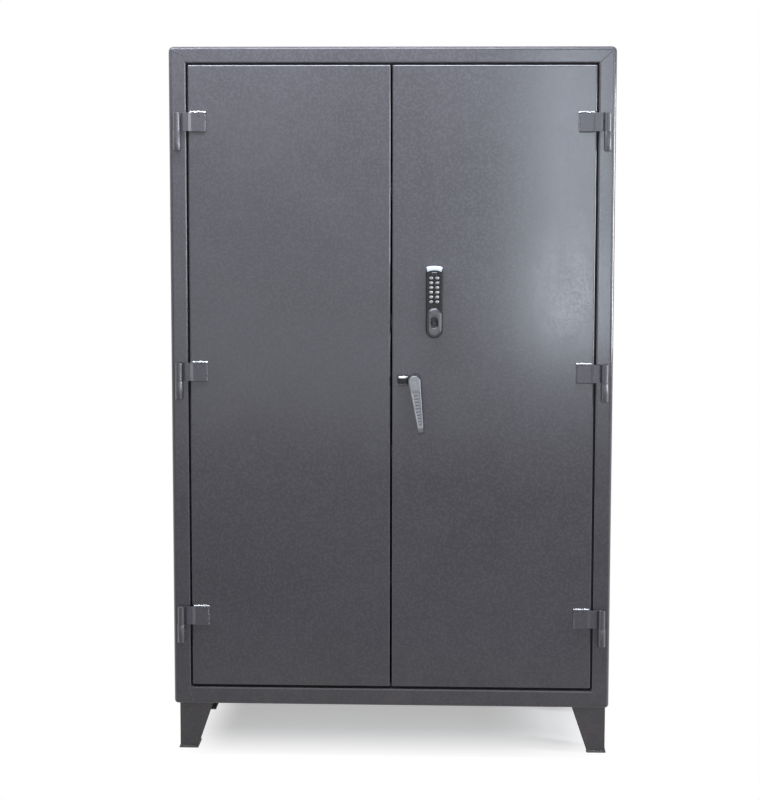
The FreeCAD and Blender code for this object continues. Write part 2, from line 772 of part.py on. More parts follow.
def keypad_housing():
    housing = keypad_body()
    front_edges = edges_in_plane_y(housing, keypad_front_y)
    housing = housing.makeFillet(keypad_edge_radius, front_edges)
    above = block(lock_x - keypad_width, lock_x + keypad_width, keypad_front_y - overrun, front_y + overrun,
                  keypad_top_z - cap_height - keypad_top_sagitta, keypad_top_z + overrun)
    housing = housing.cut(cap_band().common(above))
    holes = [slot_along_y(x, z, key_width + 2 * key_clearance, key_height + 2 * key_clearance,
                          keypad_front_y - overrun, keypad_front_y + key_hole_depth)
             for x, z in key_places()]
    holes.append(rod_along_y(lock_x, knob_z, knob_spindle_radius + key_clearance,
                             keypad_front_y - overrun, front_y + overrun))
    holes += [rod_along_y(lock_x, z, screw_radius + fit_clearance, front_y - screw_bite, front_y + overrun)
              for z in lock_screw_heights()]
    holes += [rod_along_y(x, z, light_radius, keypad_front_y - overrun, keypad_front_y + light_sink)
              for x, z in light_places()]
    holes.append(label_block(keypad_front_y - overrun, keypad_front_y + light_sink))
    return housing.cut(holes)


def keypad_cap():
    body = Part.Face(crowned_outline(keypad_width / 2, knob_z - keypad_below_knob, keypad_top_z,
                                     keypad_top_sagitta, keypad_front_y - cap_proud))
    body = body.extrude(vec(0, keypad_depth + cap_proud, 0))
    body = body.makeFillet(keypad_edge_radius, edges_in_plane_y(body, keypad_front_y - cap_proud))
    above = block(lock_x - keypad_width, lock_x + keypad_width, keypad_front_y - overrun, front_y,
                  keypad_top_z - cap_height - keypad_top_sagitta, keypad_top_z + overrun)
    return body.common(cap_band().common(above))


def light_places():
    z = knob_z + top_row_above_knob + light_above_keys
    return ((lock_x - light_spacing / 2, z), (lock_x + light_spacing / 2, z))


def label_block(y0, y1):
    z = knob_z + top_row_above_knob + label_above_keys
    return block(lock_x - label_width / 2, lock_x + label_width / 2, y0, y1,
                 z - label_height / 2, z + label_height / 2)


def keypad_lights():
    lights = [rod_along_y(x, z, light_radius, keypad_front_y - light_proud, keypad_front_y + light_sink)
              for x, z in light_places()]
    return lights + [label_block(keypad_front_y - light_proud, keypad_front_y + light_sink)]


def key_button(x, z):
    button = slot_along_y(x, z, key_width, key_height,
                          keypad_front_y - key_proud, keypad_front_y + key_body)
    return button.makeFillet(key_edge_radius, edges_in_plane_y(button, keypad_front_y - key_proud))


def keypad_knob():
    knob = slot_along_y(lock_x, knob_z, knob_width, knob_height, knob_front_y, knob_back_y)
    knob = knob.makeChamfer(knob_bevel, edges_in_plane_y(knob, knob_front_y))
    oval = slot_along_y(lock_x, knob_z, knob_oval_width, knob_oval_height,
                        knob_front_y - overrun, knob_front_y + knob_oval_depth)
    barrel = rod_along_y(lock_x, knob_z, cylinder_radius + fit_clearance, knob_front_y, cylinder_back_y)
    socket = rod_along_y(lock_x, knob_z, knob_spindle_radius + fit_clearance,
                         knob_back_y - knob_socket_depth, knob_back_y + overrun)
    knob = knob.cut([oval, barrel, socket])
    rim_edges = [edge for edge in edges_in_plane_y(knob, knob_front_y)
                 if edge.BoundBox.XMin > lock_x - knob_oval_width / 2 - match_tolerance
                 and edge.BoundBox.XMax < lock_x + knob_oval_width / 2 + match_tolerance]
    return knob.makeChamfer(knob_rim_bevel, rim_edges)


def key_cylinder():
    plug = rod_along_y(lock_x, knob_z, cylinder_radius, cylinder_front_y, cylinder_back_y)
    keyway = block(lock_x - keyway_width / 2, lock_x + keyway_width / 2,
                   cylinder_front_y - overrun, cylinder_front_y + keyway_depth,
                   knob_z - keyway_height / 2, knob_z + keyway_height / 2)
    return plug.cut(keyway)


def knob_spindle():
    return rod_along_y(lock_x, knob_z, knob_spindle_radius, knob_back_y - knob_socket_depth, blocker_back_y)


def inner_lock_case():
    half = inner_case_width / 2
    case = block(lock_x - half, lock_x + half, door_skin_y, inner_case_back_y,
                 knob_z - keypad_below_knob, keypad_top_z)
    case = case.makeFillet(inner_case_edge_radius, edges_in_plane_y(case, inner_case_back_y))
    holes = [rod_along_y(lock_x, knob_z, knob_spindle_radius + key_clearance,
                         door_skin_y - overrun, inner_case_back_y + overrun)]
    holes += [rod_along_y(lock_x, z, screw_radius + fit_clearance,
                          door_skin_y - overrun, inner_case_back_y + overrun) for z in lock_screw_heights()]
    return case.cut(holes)


def lock_screws():
    screws = []
    for z in lock_screw_heights():
        shank = rod_along_y(lock_x, z, screw_radius, front_y - screw_bite, inner_case_back_y)
        head = rod_along_y(lock_x, z, screw_head_radius,
                           inner_case_back_y, inner_case_back_y + screw_head_height)
        screws.append(shank.fuse(head).removeSplitter())
    return screws


def blocking_cam():
    reach = lock_x - (hub_x + rod_side_gap + rod_width) + blocker_overlap
    boss = rod_along_y(lock_x, knob_z, blocker_boss_radius, blocker_front_y, blocker_back_y)
    arm = block(lock_x - blocker_width / 2, lock_x + blocker_width / 2, blocker_front_y, blocker_back_y,
                knob_z, knob_z + reach)
    bore = rod_along_y(lock_x, knob_z, knob_spindle_radius + fit_clearance,
                       blocker_front_y - overrun, blocker_back_y + overrun)
    return boss.fuse(arm).cut(bore).removeSplitter()


# Shelves and what carries them

def standard_lines():
    return (front_y + standard_front_distance, back_y - standard_back_distance)


def shelf_top(index):
    low = body_bottom_z + sheet
    high = body_top_z - sheet
    return low + (high - low) * (index + 1) / (shelf_count + 1)


def shelf_standard_left(y):
    # A channel with its open side against the body's side.
    wall_x = -side_x + sheet
    low_z = body_bottom_z + sheet + standard_end_gap
    high_z = body_top_z - sheet - standard_end_gap
    half = standard_width / 2
    outside = block(wall_x, wall_x + standard_depth, y - half, y + half, low_z, high_z)
    inside = block(wall_x - overrun, wall_x + standard_depth - standard_sheet,
                   y - half + standard_sheet, y + half - standard_sheet, low_z - overrun, high_z + overrun)
    slot_count = int((high_z - low_z - slot_first) // slot_pitch) + 1
    slots = [block(wall_x, wall_x + standard_depth + overrun, y - slot_width / 2, y + slot_width / 2,
                   low_z + slot_first + i * slot_pitch - slot_height / 2,
                   low_z + slot_first + i * slot_pitch + slot_height / 2) for i in range(slot_count)]
    return outside.cut(inside).cut(slots)


def shelf(index):
    top_z = shelf_top(index)
    half = side_x - sheet - standard_depth - shelf_side_gap
    y0 = front_y + shelf_front_distance
    y1 = back_y - back_recess - sheet - shelf_back_gap
    pan = block(-half, half, y0, y1, top_z - shelf_flange, top_z)
    round_edges = [edge for edge in pan.Edges
                   if near(edge.BoundBox.ZMin, top_z) and edge.BoundBox.XLength > edge.BoundBox.YLength]
    pan = pan.makeFillet(shelf_edge_radius, round_edges)
    hollow = block(-half + shelf_sheet, half - shelf_sheet, y0 + shelf_sheet, y1 - shelf_sheet,
                   top_z - shelf_flange - overrun, top_z - shelf_sheet)
    return pan.cut(hollow)


def shelf_clip_left(index, y):
    # The clip's foot carries the shelf's end flange, and its back hangs on the standard.
    seat_z = shelf_top(index) - shelf_flange
    face_x = -side_x + sheet + standard_depth
    foot = block(face_x, face_x + clip_reach, y - clip_width / 2, y + clip_width / 2,
                 seat_z - clip_thickness, seat_z)
    back = block(face_x, face_x + clip_thickness, y - clip_width / 2, y + clip_width / 2,
                 seat_z - clip_drop, seat_z - clip_thickness)
    return foot.fuse(back).removeSplitter()


def shelf_clips():
    clips = []
    for index in range(shelf_count):
        for y in standard_lines():
            clip = shelf_clip_left(index, y)
            clips += [clip, mirror_x(clip)]
    return clips


def all_nodes():
    nodes = body_panels()
    nodes["back_panel"] = back_panel()
    nodes["door_stops"] = door_stops()
    nodes["stop_bumpers"] = stop_bumpers()
    legs = four_corners(front_left_leg())
    for name, leg in zip(("leg_front_left", "leg_front_right", "leg_rear_left", "leg_rear_right"), legs):
        nodes[name] = leg
    nodes["foot_plates"] = four_corners(front_left_foot())

    left_knuckles = [frame_knuckle_left(z) for z in hinge_heights]
    left_pins = [hinge_pin_left(z) for z in hinge_heights]
    left_straps = [hinge_strap_left(z) for z in hinge_heights]
    nodes["frame_knuckles"] = left_knuckles + [mirror_x(knuckle) for knuckle in left_knuckles]
    nodes["hinge_pins"] = left_pins + [mirror_x(pin) for pin in left_pins]
    nodes["hinge_straps_left"] = left_straps
    nodes["hinge_straps_right"] = [mirror_x(strap) for strap in left_straps]

    door_middle_x = (door_inner_x + door_outer_x) / 2
    nodes["door_left_panel"] = door_pan(-door_outer_x, -door_inner_x)
    nodes["door_left_stiffener"] = door_stiffener(-door_middle_x)
    nodes["door_left_strike"] = door_strike()
    nodes["door_right_panel"] = right_door_panel()
    nodes["door_right_stiffener"] = door_stiffener(door_middle_x)

    nodes["handle_lever"] = lever_handle()
    nodes["handle_spindle"] = handle_spindle()
    nodes["handle_bushing"] = handle_bushing()
    nodes["bushing_nut"] = bushing_nut()
    nodes["padlock_staple"] = padlock_staple()
    nodes["latch_cam"] = latch_cam()
    nodes["cam_pins"] = cam_pins()
    nodes["rod_upper"] = upper_rod()
    nodes["rod_lower"] = lower_rod()
    nodes["rod_collar"] = rod_collar()
    nodes["rod_guides"] = rod_guides()

    nodes["keypad_housing"] = keypad_housing()
    nodes["keypad_cap"] = keypad_cap()
    nodes["keypad_lights"] = keypad_lights()
    nodes["keypad_inner_case"] = inner_lock_case()
    nodes["keypad_screws"] = lock_screws()
    nodes["keypad_knob"] = keypad_knob()
    nodes["key_cylinder"] = key_cylinder()
    nodes["knob_spindle"] = knob_spindle()
    nodes["blocking_cam"] = blocking_cam()
    for number, (x, z) in enumerate(key_places(), start=1):
        nodes["key_%02d" % number] = key_button(x, z)

    left_standards = [shelf_standard_left(y) for y in standard_lines()]
    nodes["shelf_standards"] = left_standards + [mirror_x(standard) for standard in left_standards]
    for index in range(shelf_count):
        nodes["shelf_%d" % (index + 1)] = shelf(index)
    nodes["shelf_clips"] = shelf_clips()
    return nodes


def save(name, shape):
    if isinstance(shape, list):
        shape = Part.makeCompound(shape)
    print(name, len(shape.Solids), "valid" if shape.isValid() else "NOT VALID", round(shape.Volume / 1000, 1))
    shape.exportStep("parts/%s.step" % name)


os.makedirs("parts", exist_ok=True)
for node_name, node_shape in all_nodes().items():
    save(node_name, node_shape)
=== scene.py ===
from math import copysign, cos, hypot, pi, radians, sin, sqrt
from types import SimpleNamespace as Named

import bmesh
import bpy
from mathutils import Matrix, Vector


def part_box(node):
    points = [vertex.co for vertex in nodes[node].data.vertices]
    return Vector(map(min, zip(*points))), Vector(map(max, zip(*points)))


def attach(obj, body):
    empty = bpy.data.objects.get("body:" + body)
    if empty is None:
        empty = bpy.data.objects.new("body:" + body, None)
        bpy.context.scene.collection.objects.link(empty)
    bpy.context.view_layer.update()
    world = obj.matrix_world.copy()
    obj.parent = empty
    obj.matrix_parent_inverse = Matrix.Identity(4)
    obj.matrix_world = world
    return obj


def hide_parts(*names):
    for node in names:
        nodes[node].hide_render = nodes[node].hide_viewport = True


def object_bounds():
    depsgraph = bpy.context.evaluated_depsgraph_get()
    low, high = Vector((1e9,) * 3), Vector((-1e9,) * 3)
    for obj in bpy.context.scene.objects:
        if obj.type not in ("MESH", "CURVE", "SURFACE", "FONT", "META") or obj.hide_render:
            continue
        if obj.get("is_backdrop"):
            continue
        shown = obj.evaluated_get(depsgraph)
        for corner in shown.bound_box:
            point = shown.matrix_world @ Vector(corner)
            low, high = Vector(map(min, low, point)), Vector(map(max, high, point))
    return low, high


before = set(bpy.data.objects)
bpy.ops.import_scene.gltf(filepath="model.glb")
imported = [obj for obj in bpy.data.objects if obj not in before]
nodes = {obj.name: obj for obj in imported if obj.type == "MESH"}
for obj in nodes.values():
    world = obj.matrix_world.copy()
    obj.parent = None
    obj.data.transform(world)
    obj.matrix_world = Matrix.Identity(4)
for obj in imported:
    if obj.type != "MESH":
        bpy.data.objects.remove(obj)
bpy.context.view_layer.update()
mm = 0.001
print("frame loaded with", len(nodes), "nodes")


# Wiring for shader and geometry trees

class Wire:
    # An output socket that can be used in a sum.
    def __init__(self, graph, socket):
        self.graph = graph
        self.socket = socket

    def step(self, operation, first, second):
        return self.graph.add("ShaderNodeMath", {0: first, 1: second}, operation=operation)

    def __add__(self, other):
        return self.step("ADD", self, other)

    def __radd__(self, other):
        return self.step("ADD", other, self)

    def __sub__(self, other):
        return self.step("SUBTRACT", self, other)

    def __rsub__(self, other):
        return self.step("SUBTRACT", other, self)

    def __mul__(self, other):
        return self.step("MULTIPLY", self, other)

    def atLeast(self, other):
        return self.step("MAXIMUM", self, other)

    def away(self):
        return self.step("ABSOLUTE", self, 0)

    def rise(self, low, high):
        # 0 below low, 1 above high, and smooth in between
        return self.graph.add("ShaderNodeMapRange", {0: self, 1: low, 2: high},
                              interpolation_type="SMOOTHSTEP")


class Graph:
    def __init__(self, tree):
        self.tree = tree
        tree.nodes.clear()

    def add(self, kind, inputs=None, output=0, **settings):
        node = self.tree.nodes.new(kind)
        for name, value in settings.items():
            setattr(node, name, value)
        for key, value in (inputs or {}).items():
            if isinstance(value, Wire):
                self.tree.links.new(value.socket, node.inputs[key])
            else:
                node.inputs[key].default_value = value
        return Wire(self, node.outputs[output]) if node.outputs else None

    def place(self, stretch=(1, 1, 1), shift=(0, 0, 0)):
        spot = self.add("ShaderNodeTexCoord", output="Object")
        return self.add("ShaderNodeMapping", {"Vector": spot, "Location": shift, "Scale": stretch})

    def along(self, axis, reading="Object"):
        # how far a point lies along an axis of the piece
        spot = self.add("ShaderNodeTexCoord", output=reading)
        return self.add("ShaderNodeSeparateXYZ", {0: spot}, axis)

    def facing(self, axis):
        # how far the surface faces that way
        return self.along(axis, "Normal")

    def noise(self, where, scale, detail=2.0, roughness=0.5):
        return self.add("ShaderNodeTexNoise",
                        {"Vector": where, "Scale": scale, "Detail": detail, "Roughness": roughness})

    def cells(self, where, scale, feature="F1", output="Distance"):
        return self.add("ShaderNodeTexVoronoi", {"Vector": where, "Scale": scale}, output,
                        feature=feature)

    def tint(self, share, first, second):
        return self.add("ShaderNodeMix", {0: share, 6: first, 7: second}, 2, data_type="RGBA")

    def bump(self, height, strength, distance):
        return self.add("ShaderNodeBump", {"Height": height, "Strength": strength, "Distance": distance})

    def surface(self, sockets):
        shader = self.add("ShaderNodeBsdfPrincipled", sockets)
        self.add("ShaderNodeOutputMaterial", {"Surface": shader})


def newFinish(name):
    finish = bpy.data.materials.new(name)
    finish.use_nodes = True
    return finish, Graph(finish.node_tree)


def rgb(red, green, blue):
    return (red, green, blue, 1.0)


# Finishes

# the pale tone after scuff is a painted highlight, for the upward tops of beads
paint = Named(
    base=rgb(0.042, 0.0385, 0.0465), cloudy=rgb(0.053, 0.0495, 0.059), fleck=rgb(0.108, 0.103, 0.120),
    dust=rgb(0.072, 0.058, 0.048), scuff=rgb(0.17, 0.175, 0.185), bare=rgb(0.74, 0.76, 0.80), cloudScale=3.2,
    rubScale=6.0, patchScale=21.0, speckleScale=150.0, peelScale=330.0, grainScale=1500.0,
    dripScale=(34, 34, 2.2), scratchScale=(420, 420, 16), roughness=0.100, dustTop=0.42, peelDepth=0.00016,
    ior=1.44, coatIor=1.6)


def paintFinish(name, seed, lift=0.0, rough=0.0, dusty=1.0, dullTop=0.0, paintedTopHighlight=0.0, bendRough=0.09):
    # dullTop dulls level faces; the next setting paints a highlight on the upward tops of beads, a light
    # metallic tint as if lit from above; and bendRough is the coat's on bends.
    finish, g = newFinish(name)
    here = g.place(shift=(seed, seed * 0.7, seed * 1.3))
    clouds = g.noise(here, paint.cloudScale, 4.0, 0.6)
    patches = g.noise(here, paint.patchScale, 3.0, 0.55)
    speckle = g.noise(here, paint.speckleScale, 1.0).rise(0.44, 0.64)
    peel = g.noise(here, paint.peelScale, 2.0)
    grain = g.noise(here, paint.grainScale, 1.0)
    drips = g.noise(g.place(paint.dripScale, (seed, 0, seed)), 1.0, 3.0)
    marks = g.noise(g.place(paint.scratchScale, (seed, seed, 0)), 1.0, 1.0).rise(0.72, 0.80)
    rubbed = g.noise(here, paint.rubScale, 2.0).rise(0.58, 0.74)
    dust = (1 - g.along("Z").rise(0.02, paint.dustTop)) * (patches.rise(0.3, 0.7) * 0.7 + 0.3) * dusty
    colour = g.tint(clouds.rise(0.36, 0.64) * 0.55 + patches.rise(0.35, 0.65) * 0.25 + lift,
                    paint.base, paint.cloudy)
    colour = g.tint(speckle * 0.18 + grain.rise(0.50, 0.72) * 0.12, colour, paint.fleck)
    colour = g.tint(marks * rubbed * 0.45, colour, paint.scuff)
    colour = g.tint(dust * 0.55, colour, paint.dust)
    roughness = (paint.roughness + rough + patches * 0.05 + drips * 0.03 + speckle * 0.03
                 + dust * 0.12 + marks * 0.08)
    flatness = g.facing(0).away().atLeast(g.facing(1).away()).atLeast(g.facing(2).away())
    sockets = {"Base Color": colour, "Roughness": roughness, "IOR": paint.ior,
               "Coat Roughness": bendRough, "Coat IOR": paint.coatIor,
               "Coat Weight": (1 - flatness).rise(0.02, 0.20),
               "Normal": g.bump(peel * 0.6 + grain * 0.4, 0.22, paint.peelDepth)}
    if dullTop:
        level = g.facing(2).away()
        sockets["Roughness"] = roughness + level.rise(0.10, 0.50) * dullTop
        sockets["Coat Weight"] *= 1 - level.rise(0.10, 0.40)
    # painted highlight: faces that turn upwards are tinted light and made metallic, the glint of light from
    # above, broken up by noise
    if paintedTopHighlight:
        top = g.facing(2).rise(0.05, 0.55) * (patches * 0.5 + peel.rise(0.35, 0.65) * 0.35 + 0.4) * paintedTopHighlight
        sockets["Base Color"] = g.tint(top, colour, paint.bare)
        sockets["Metallic"] = top
    g.surface(sockets)
    return finish


def metalFinish(name, seed, tones, stains, spangle, lines, pit, roughness, relief, edge=None):
    # tones are two colours and that of stains. spangle and stains give a scale and a share, and lines gives
    # the scale of the brush lines on each axis.
    finish, g = newFinish(name)
    first, second, stain = (rgb(*tone) for tone in tones)
    here = g.place(shift=(seed, seed, seed * 0.5))
    shade = g.add("ShaderNodeSeparateColor", {0: g.cells(here, spangle[0], output="Color")})
    clouds = g.noise(here, stains[0], 4.0, 0.6)
    brushed = g.noise(g.place(lines, (seed, 0, 0)), 1.0, 3.0, 0.65)
    pits = g.cells(here, pit).rise(0.0, 0.32)
    colour = g.tint(shade * spangle[1] + brushed.rise(0.3, 0.7) * 0.35, first, second)
    colour = g.tint(clouds.rise(0.56, 0.78) * stains[1], colour, stain)
    # painted shade: when an edge colour is given, faces turning away from the front take it, so only the
    # middle stays bright
    if edge:
        colour = g.tint((0 - g.facing(1)).rise(0.84, 0.98), edge, colour)
    g.surface({"Base Color": colour, "Metallic": 1.0,
               "Roughness": roughness + brushed * 0.12 + clouds * 0.10 + shade * 0.05,
               "Normal": g.bump(brushed * 0.5 + pits * 0.5, relief, 0.0001)})
    return finish


def mouldedFinish(name, seed, tones, grain, roughness, ior, relief):
    finish, g = newFinish(name)
    first, second, grimy = (rgb(*tone) for tone in tones)
    here = g.place(shift=(seed, seed * 2, seed))
    leather = g.cells(here, grain, "SMOOTH_F1")
    clouds = g.noise(here, 40.0, 3.0)
    fine = g.noise(here, grain * 2.5, 2.0)
    grime = g.noise(here, 120.0, 3.0).rise(0.55, 0.8)
    colour = g.tint(clouds.rise(0.3, 0.7), first, second)
    colour = g.tint(grime * 0.3, colour, grimy)
    g.surface({"Base Color": colour, "Roughness": roughness + fine * 0.12 + grime * 0.08, "IOR": ior,
               "Normal": g.bump(leather * 0.7 + fine * 0.3, relief, 0.00012)})
    return finish


castMetal = {"stains": (55.0, 0.45), "spangle": (700.0, 0.25), "lines": (260, 260, 40), "pit": 520.0,
             "roughness": 0.36, "relief": 0.30}

bodyPaint = paintFinish("bodyPaint", 3.0, dullTop=0.30)
doorPaint = paintFinish("doorPaint", 11.0)
shelfPaint = paintFinish("shelfPaint", 23.0, dusty=0.2)
hingePaint = paintFinish("hingePaint", 41.0, lift=1.4, rough=0.14, bendRough=0.36)
stopPaint = paintFinish("stopPaint", 43.0, rough=0.55)
seamPaint = paintFinish("seamPaint", 31.0, lift=0.5, rough=0.05)
# weld beads with the painted highlight on their tops
brightSeam = paintFinish("brightSeam", 37.0, lift=0.5, rough=0.08, paintedTopHighlight=0.75)
zincPlate = metalFinish(
    "zincPlate", 1.0, ((0.25, 0.255, 0.27), (0.35, 0.355, 0.365), (0.19, 0.185, 0.165)),
    stains=(26.0, 0.5), spangle=(160.0, 0.5), lines=(500, 500, 30), pit=900.0, roughness=0.33, relief=0.12)
turnedSteel = metalFinish(
    "turnedSteel", 2.0, ((0.46, 0.46, 0.47), (0.60, 0.60, 0.61), (0.30, 0.28, 0.26)),
    stains=(60.0, 0.4), spangle=(400.0, 0.2), lines=(60, 60, 2400), pit=1200.0, roughness=0.22, relief=0.12)
castLever = metalFinish(
    "castLever", 4.0, ((0.155, 0.157, 0.170), (0.23, 0.232, 0.245), (0.085, 0.085, 0.095)), **castMetal)
# a darker copy of the lever metal: painted shade for the lever's downward-facing tip and round its raised
# ribs
shadedCast = metalFinish(
    "shadedCast", 4.5, ((0.075, 0.075, 0.082), (0.115, 0.115, 0.123), (0.085, 0.085, 0.095)), **castMetal)
stapleSteel = metalFinish(
    "stapleSteel", 5.0, ((0.62, 0.63, 0.65), (0.78, 0.79, 0.81), (0.45, 0.45, 0.46)),
    stains=(70.0, 0.3), spangle=(300.0, 0.2), lines=(60, 1600, 1600), pit=1400.0, roughness=0.20, relief=0.10)
capMetal = metalFinish(
    "capMetal", 6.0, ((0.45, 0.50, 0.57), (0.54, 0.59, 0.67), (0.40, 0.44, 0.50)),
    stains=(80.0, 0.25), spangle=(600.0, 0.1), lines=(90, 900, 2600), pit=1600.0, roughness=0.24, relief=0.08)
# chrome keys whose sides carry the dark edge colour as painted shade
keyChrome = metalFinish(
    "keyChrome", 7.0, ((0.62, 0.62, 0.64), (0.76, 0.76, 0.78), (0.30, 0.30, 0.30)),
    stains=(220.0, 0.3), spangle=(900.0, 0.1), lines=(900, 900, 300), pit=2200.0, roughness=0.10, relief=0.05,
    edge=rgb(0.02, 0.02, 0.022))
knobMetal = metalFinish(
    "knobMetal", 8.0, ((0.066, 0.066, 0.071), (0.092, 0.092, 0.098), (0.05, 0.05, 0.053)),
    stains=(90.0, 0.4), spangle=(900.0, 0.15), lines=(300, 300, 300), pit=1300.0, roughness=0.28, relief=0.12)
# near-black steel: dark on the key plug, and painted shade on the padlock plate and the bow's feet under the
# bar
darkSteelAndShade = metalFinish(
    "darkSteelAndShade", 9.0, ((0.022, 0.022, 0.024), (0.042, 0.042, 0.045), (0.014, 0.014, 0.014)),
    stains=(110.0, 0.5), spangle=(500.0, 0.25), lines=(700, 700, 700), pit=1500.0, roughness=0.30,
    relief=0.15)
blackCase = mouldedFinish(
    "blackCase", 1.5, ((0.008, 0.0075, 0.009), (0.013, 0.012, 0.014), (0.028, 0.026, 0.025)),
    grain=900.0, roughness=0.31, ior=1.30, relief=0.25)
rubber = mouldedFinish(
    "rubber", 3.5, ((0.014, 0.014, 0.015), (0.022, 0.022, 0.022), (0.07, 0.066, 0.06)),
    grain=700.0, roughness=0.72, ior=1.45, relief=0.35)
smokedLens = mouldedFinish(
    "smokedLens", 4.5, ((0.10, 0.07, 0.07), (0.15, 0.10, 0.10), (0.05, 0.05, 0.05)),
    grain=2500.0, roughness=0.10, ior=1.55, relief=0.04)
keyInk = mouldedFinish(
    "keyInk", 5.5, ((0.05, 0.05, 0.055), (0.08, 0.08, 0.085), (0.14, 0.14, 0.14)),
    grain=1800.0, roughness=0.5, ior=1.45, relief=0.15)
print("finishes ready:", len(bpy.data.materials))

carried = {
    bodyPaint: ["side_panel_left", "side_panel_right", "top_panel", "bottom_panel", "back_panel"],
    stopPaint: ["door_stops"],
    doorPaint: ["door_left_panel", "door_right_panel", "door_left_stiffener", "door_right_stiffener"],
    shelfPaint: ["shelf_1", "shelf_2", "shelf_3", "shelf_4"],
    zincPlate: ["shelf_standards", "shelf_clips", "cam_pins"],
    turnedSteel: ["hinge_pins", "handle_spindle", "knob_spindle", "handle_bushing"],
}
for finish, names in carried.items():
    for name in names:
        node = nodes[name]
        node.data.materials.clear()
        node.data.materials.append(finish)


# Making pieces

def middle(low, high):
    return (low + high) / 2


def measures(low, high):
    # the middle of a box, with half its width and half its height
    return middle(low, high), (high.x - low.x) / 2, (high.z - low.z) / 2


def extent(points):
    return (Vector([min(point[i] for point in points) for i in range(3)]),
            Vector([max(point[i] for point in points) for i in range(3)]))


def newObject(name, data):
    made = bpy.data.objects.new(name, data)
    bpy.context.scene.collection.objects.link(made)
    return made


def evaluatedMesh(holder):
    bpy.context.view_layer.update()
    return bpy.data.meshes.new_from_object(holder.evaluated_get(bpy.context.evaluated_depsgraph_get()))


def finishPiece(name, bm, finishes, body, standsFor=(), sharp=38, seams=1e-6):
    if seams:
        bmesh.ops.remove_doubles(bm, verts=bm.verts, dist=seams)
        bmesh.ops.dissolve_degenerate(bm, edges=bm.edges, dist=seams)
    bmesh.ops.recalc_face_normals(bm, faces=bm.faces)
    mesh = bpy.data.meshes.new(name)
    bm.to_mesh(mesh)
    bm.free()
    return placePiece(name, mesh, finishes, body, standsFor, sharp)


def placePiece(name, mesh, finishes, body, standsFor=(), sharp=38):
    for finish in finishes:
        mesh.materials.append(finish)
    mesh.shade_smooth()
    mesh.set_sharp_from_angle(angle=radians(sharp))
    piece = newObject(name, mesh)
    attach(piece, body)
    if standsFor:
        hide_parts(*standsFor)
    return piece


def markFrom(bm, first):
    # gives the second finish to all faces but the first ones
    bm.faces.ensure_lookup_table()
    for face in bm.faces[first:]:
        face.material_index = 1


def mergedCopy(name):
    bm = bmesh.new()
    bm.from_mesh(nodes[name].data)
    bmesh.ops.remove_doubles(bm, verts=bm.verts, dist=2e-6)
    bmesh.ops.dissolve_degenerate(bm, edges=bm.edges, dist=1e-6)
    return bm


def islands(name):
    # the box of each separate solid in a node, from left to right and from the bottom up
    bm = mergedCopy(name)
    left = set(bm.verts)
    boxes = []
    while left:
        group, reach = [], [left.pop()]
        while reach:
            vert = reach.pop()
            group.append(vert.co.copy())
            for edge in vert.link_edges:
                other = edge.other_vert(vert)
                if other in left:
                    left.discard(other)
                    reach.append(other)
        boxes.append(extent(group))
    bm.free()
    return sorted(boxes, key=lambda box: (round(box[0].x, 3), round(box[0].z, 3), round(box[0].y, 3)))


wideFlat = 350 * mm * mm
sharpBend = 32


def roundEdges(bm, width, bend):
    # Rounds the edges that turn by more than bend, in degrees.
    bmesh.ops.dissolve_limit(bm, angle_limit=radians(0.5), verts=bm.verts, edges=bm.edges)
    edges = [edge for edge in bm.edges
             if len(edge.link_faces) == 2 and edge.calc_face_angle(0) > radians(bend)]
    bmesh.ops.bevel(bm, geom=edges, offset=width * mm, offset_type="OFFSET", segments=2, profile=0.5,
                    affect="EDGES", clamp_overlap=True)
    bmesh.ops.triangulate(bm, faces=[face for face in bm.faces if len(face.verts) > 4])


def softened(name, finish, body, width, sharp):
    # A node's own shape with its sharp edges rounded and its wide flats kept flat.
    bm = mergedCopy(name)
    roundEdges(bm, width, sharpBend)
    words = name.split("_")
    piece = words[0] + "".join(word.capitalize() for word in words[1:])
    made = finishPiece(piece, bm, [finish], body, [name], sharp=sharp, seams=0)
    for face in made.data.polygons:
        face.use_smooth = face.area < wideFlat


def joinRings(bm, rings, closed=True):
    # Skins a row of rings, each with the same number of points, and closes both ends.
    rows = [[bm.verts.new(point) for point in ring] for ring in rings]
    count = len(rows[0])
    for low, high in zip(rows, rows[1:]):
        for i in range(count):
            j = (i + 1) % count
            bm.faces.new((low[i], low[j], high[j], high[i]))
    if closed:
        bm.faces.new(rows[0][::-1])
        bm.faces.new(rows[-1])


def boxRing(centre, halfWidth, halfHeight, corner, y, count=32):
    # A rectangle with round corners that faces the front. All sizes are in metres.
    ring = []
    for i in range(count):
        turn = 2 * pi * (i + 0.5) / count
        c, s = cos(turn), sin(turn)
        x = corner * c + copysign(halfWidth - corner, c)
        z = corner * s + copysign(halfHeight - corner, s)
        ring.append(Vector((centre.x + x, y, centre.z + z)))
    return ring


def ovalRing(centre, halfWidth, halfHeight, y, count):
    # The same with round ends.
    return boxRing(centre, halfWidth, halfHeight, min(halfWidth, halfHeight), y, count)


def roundRings(centre, rows, count, y=0):
    # Rings for a round body. The rows give radius and depth in millimetres; y is in metres.
    return [ovalRing(centre, radius * mm, radius * mm, y + depth * mm, count) for radius, depth in rows]


# Trees that repeat a shape

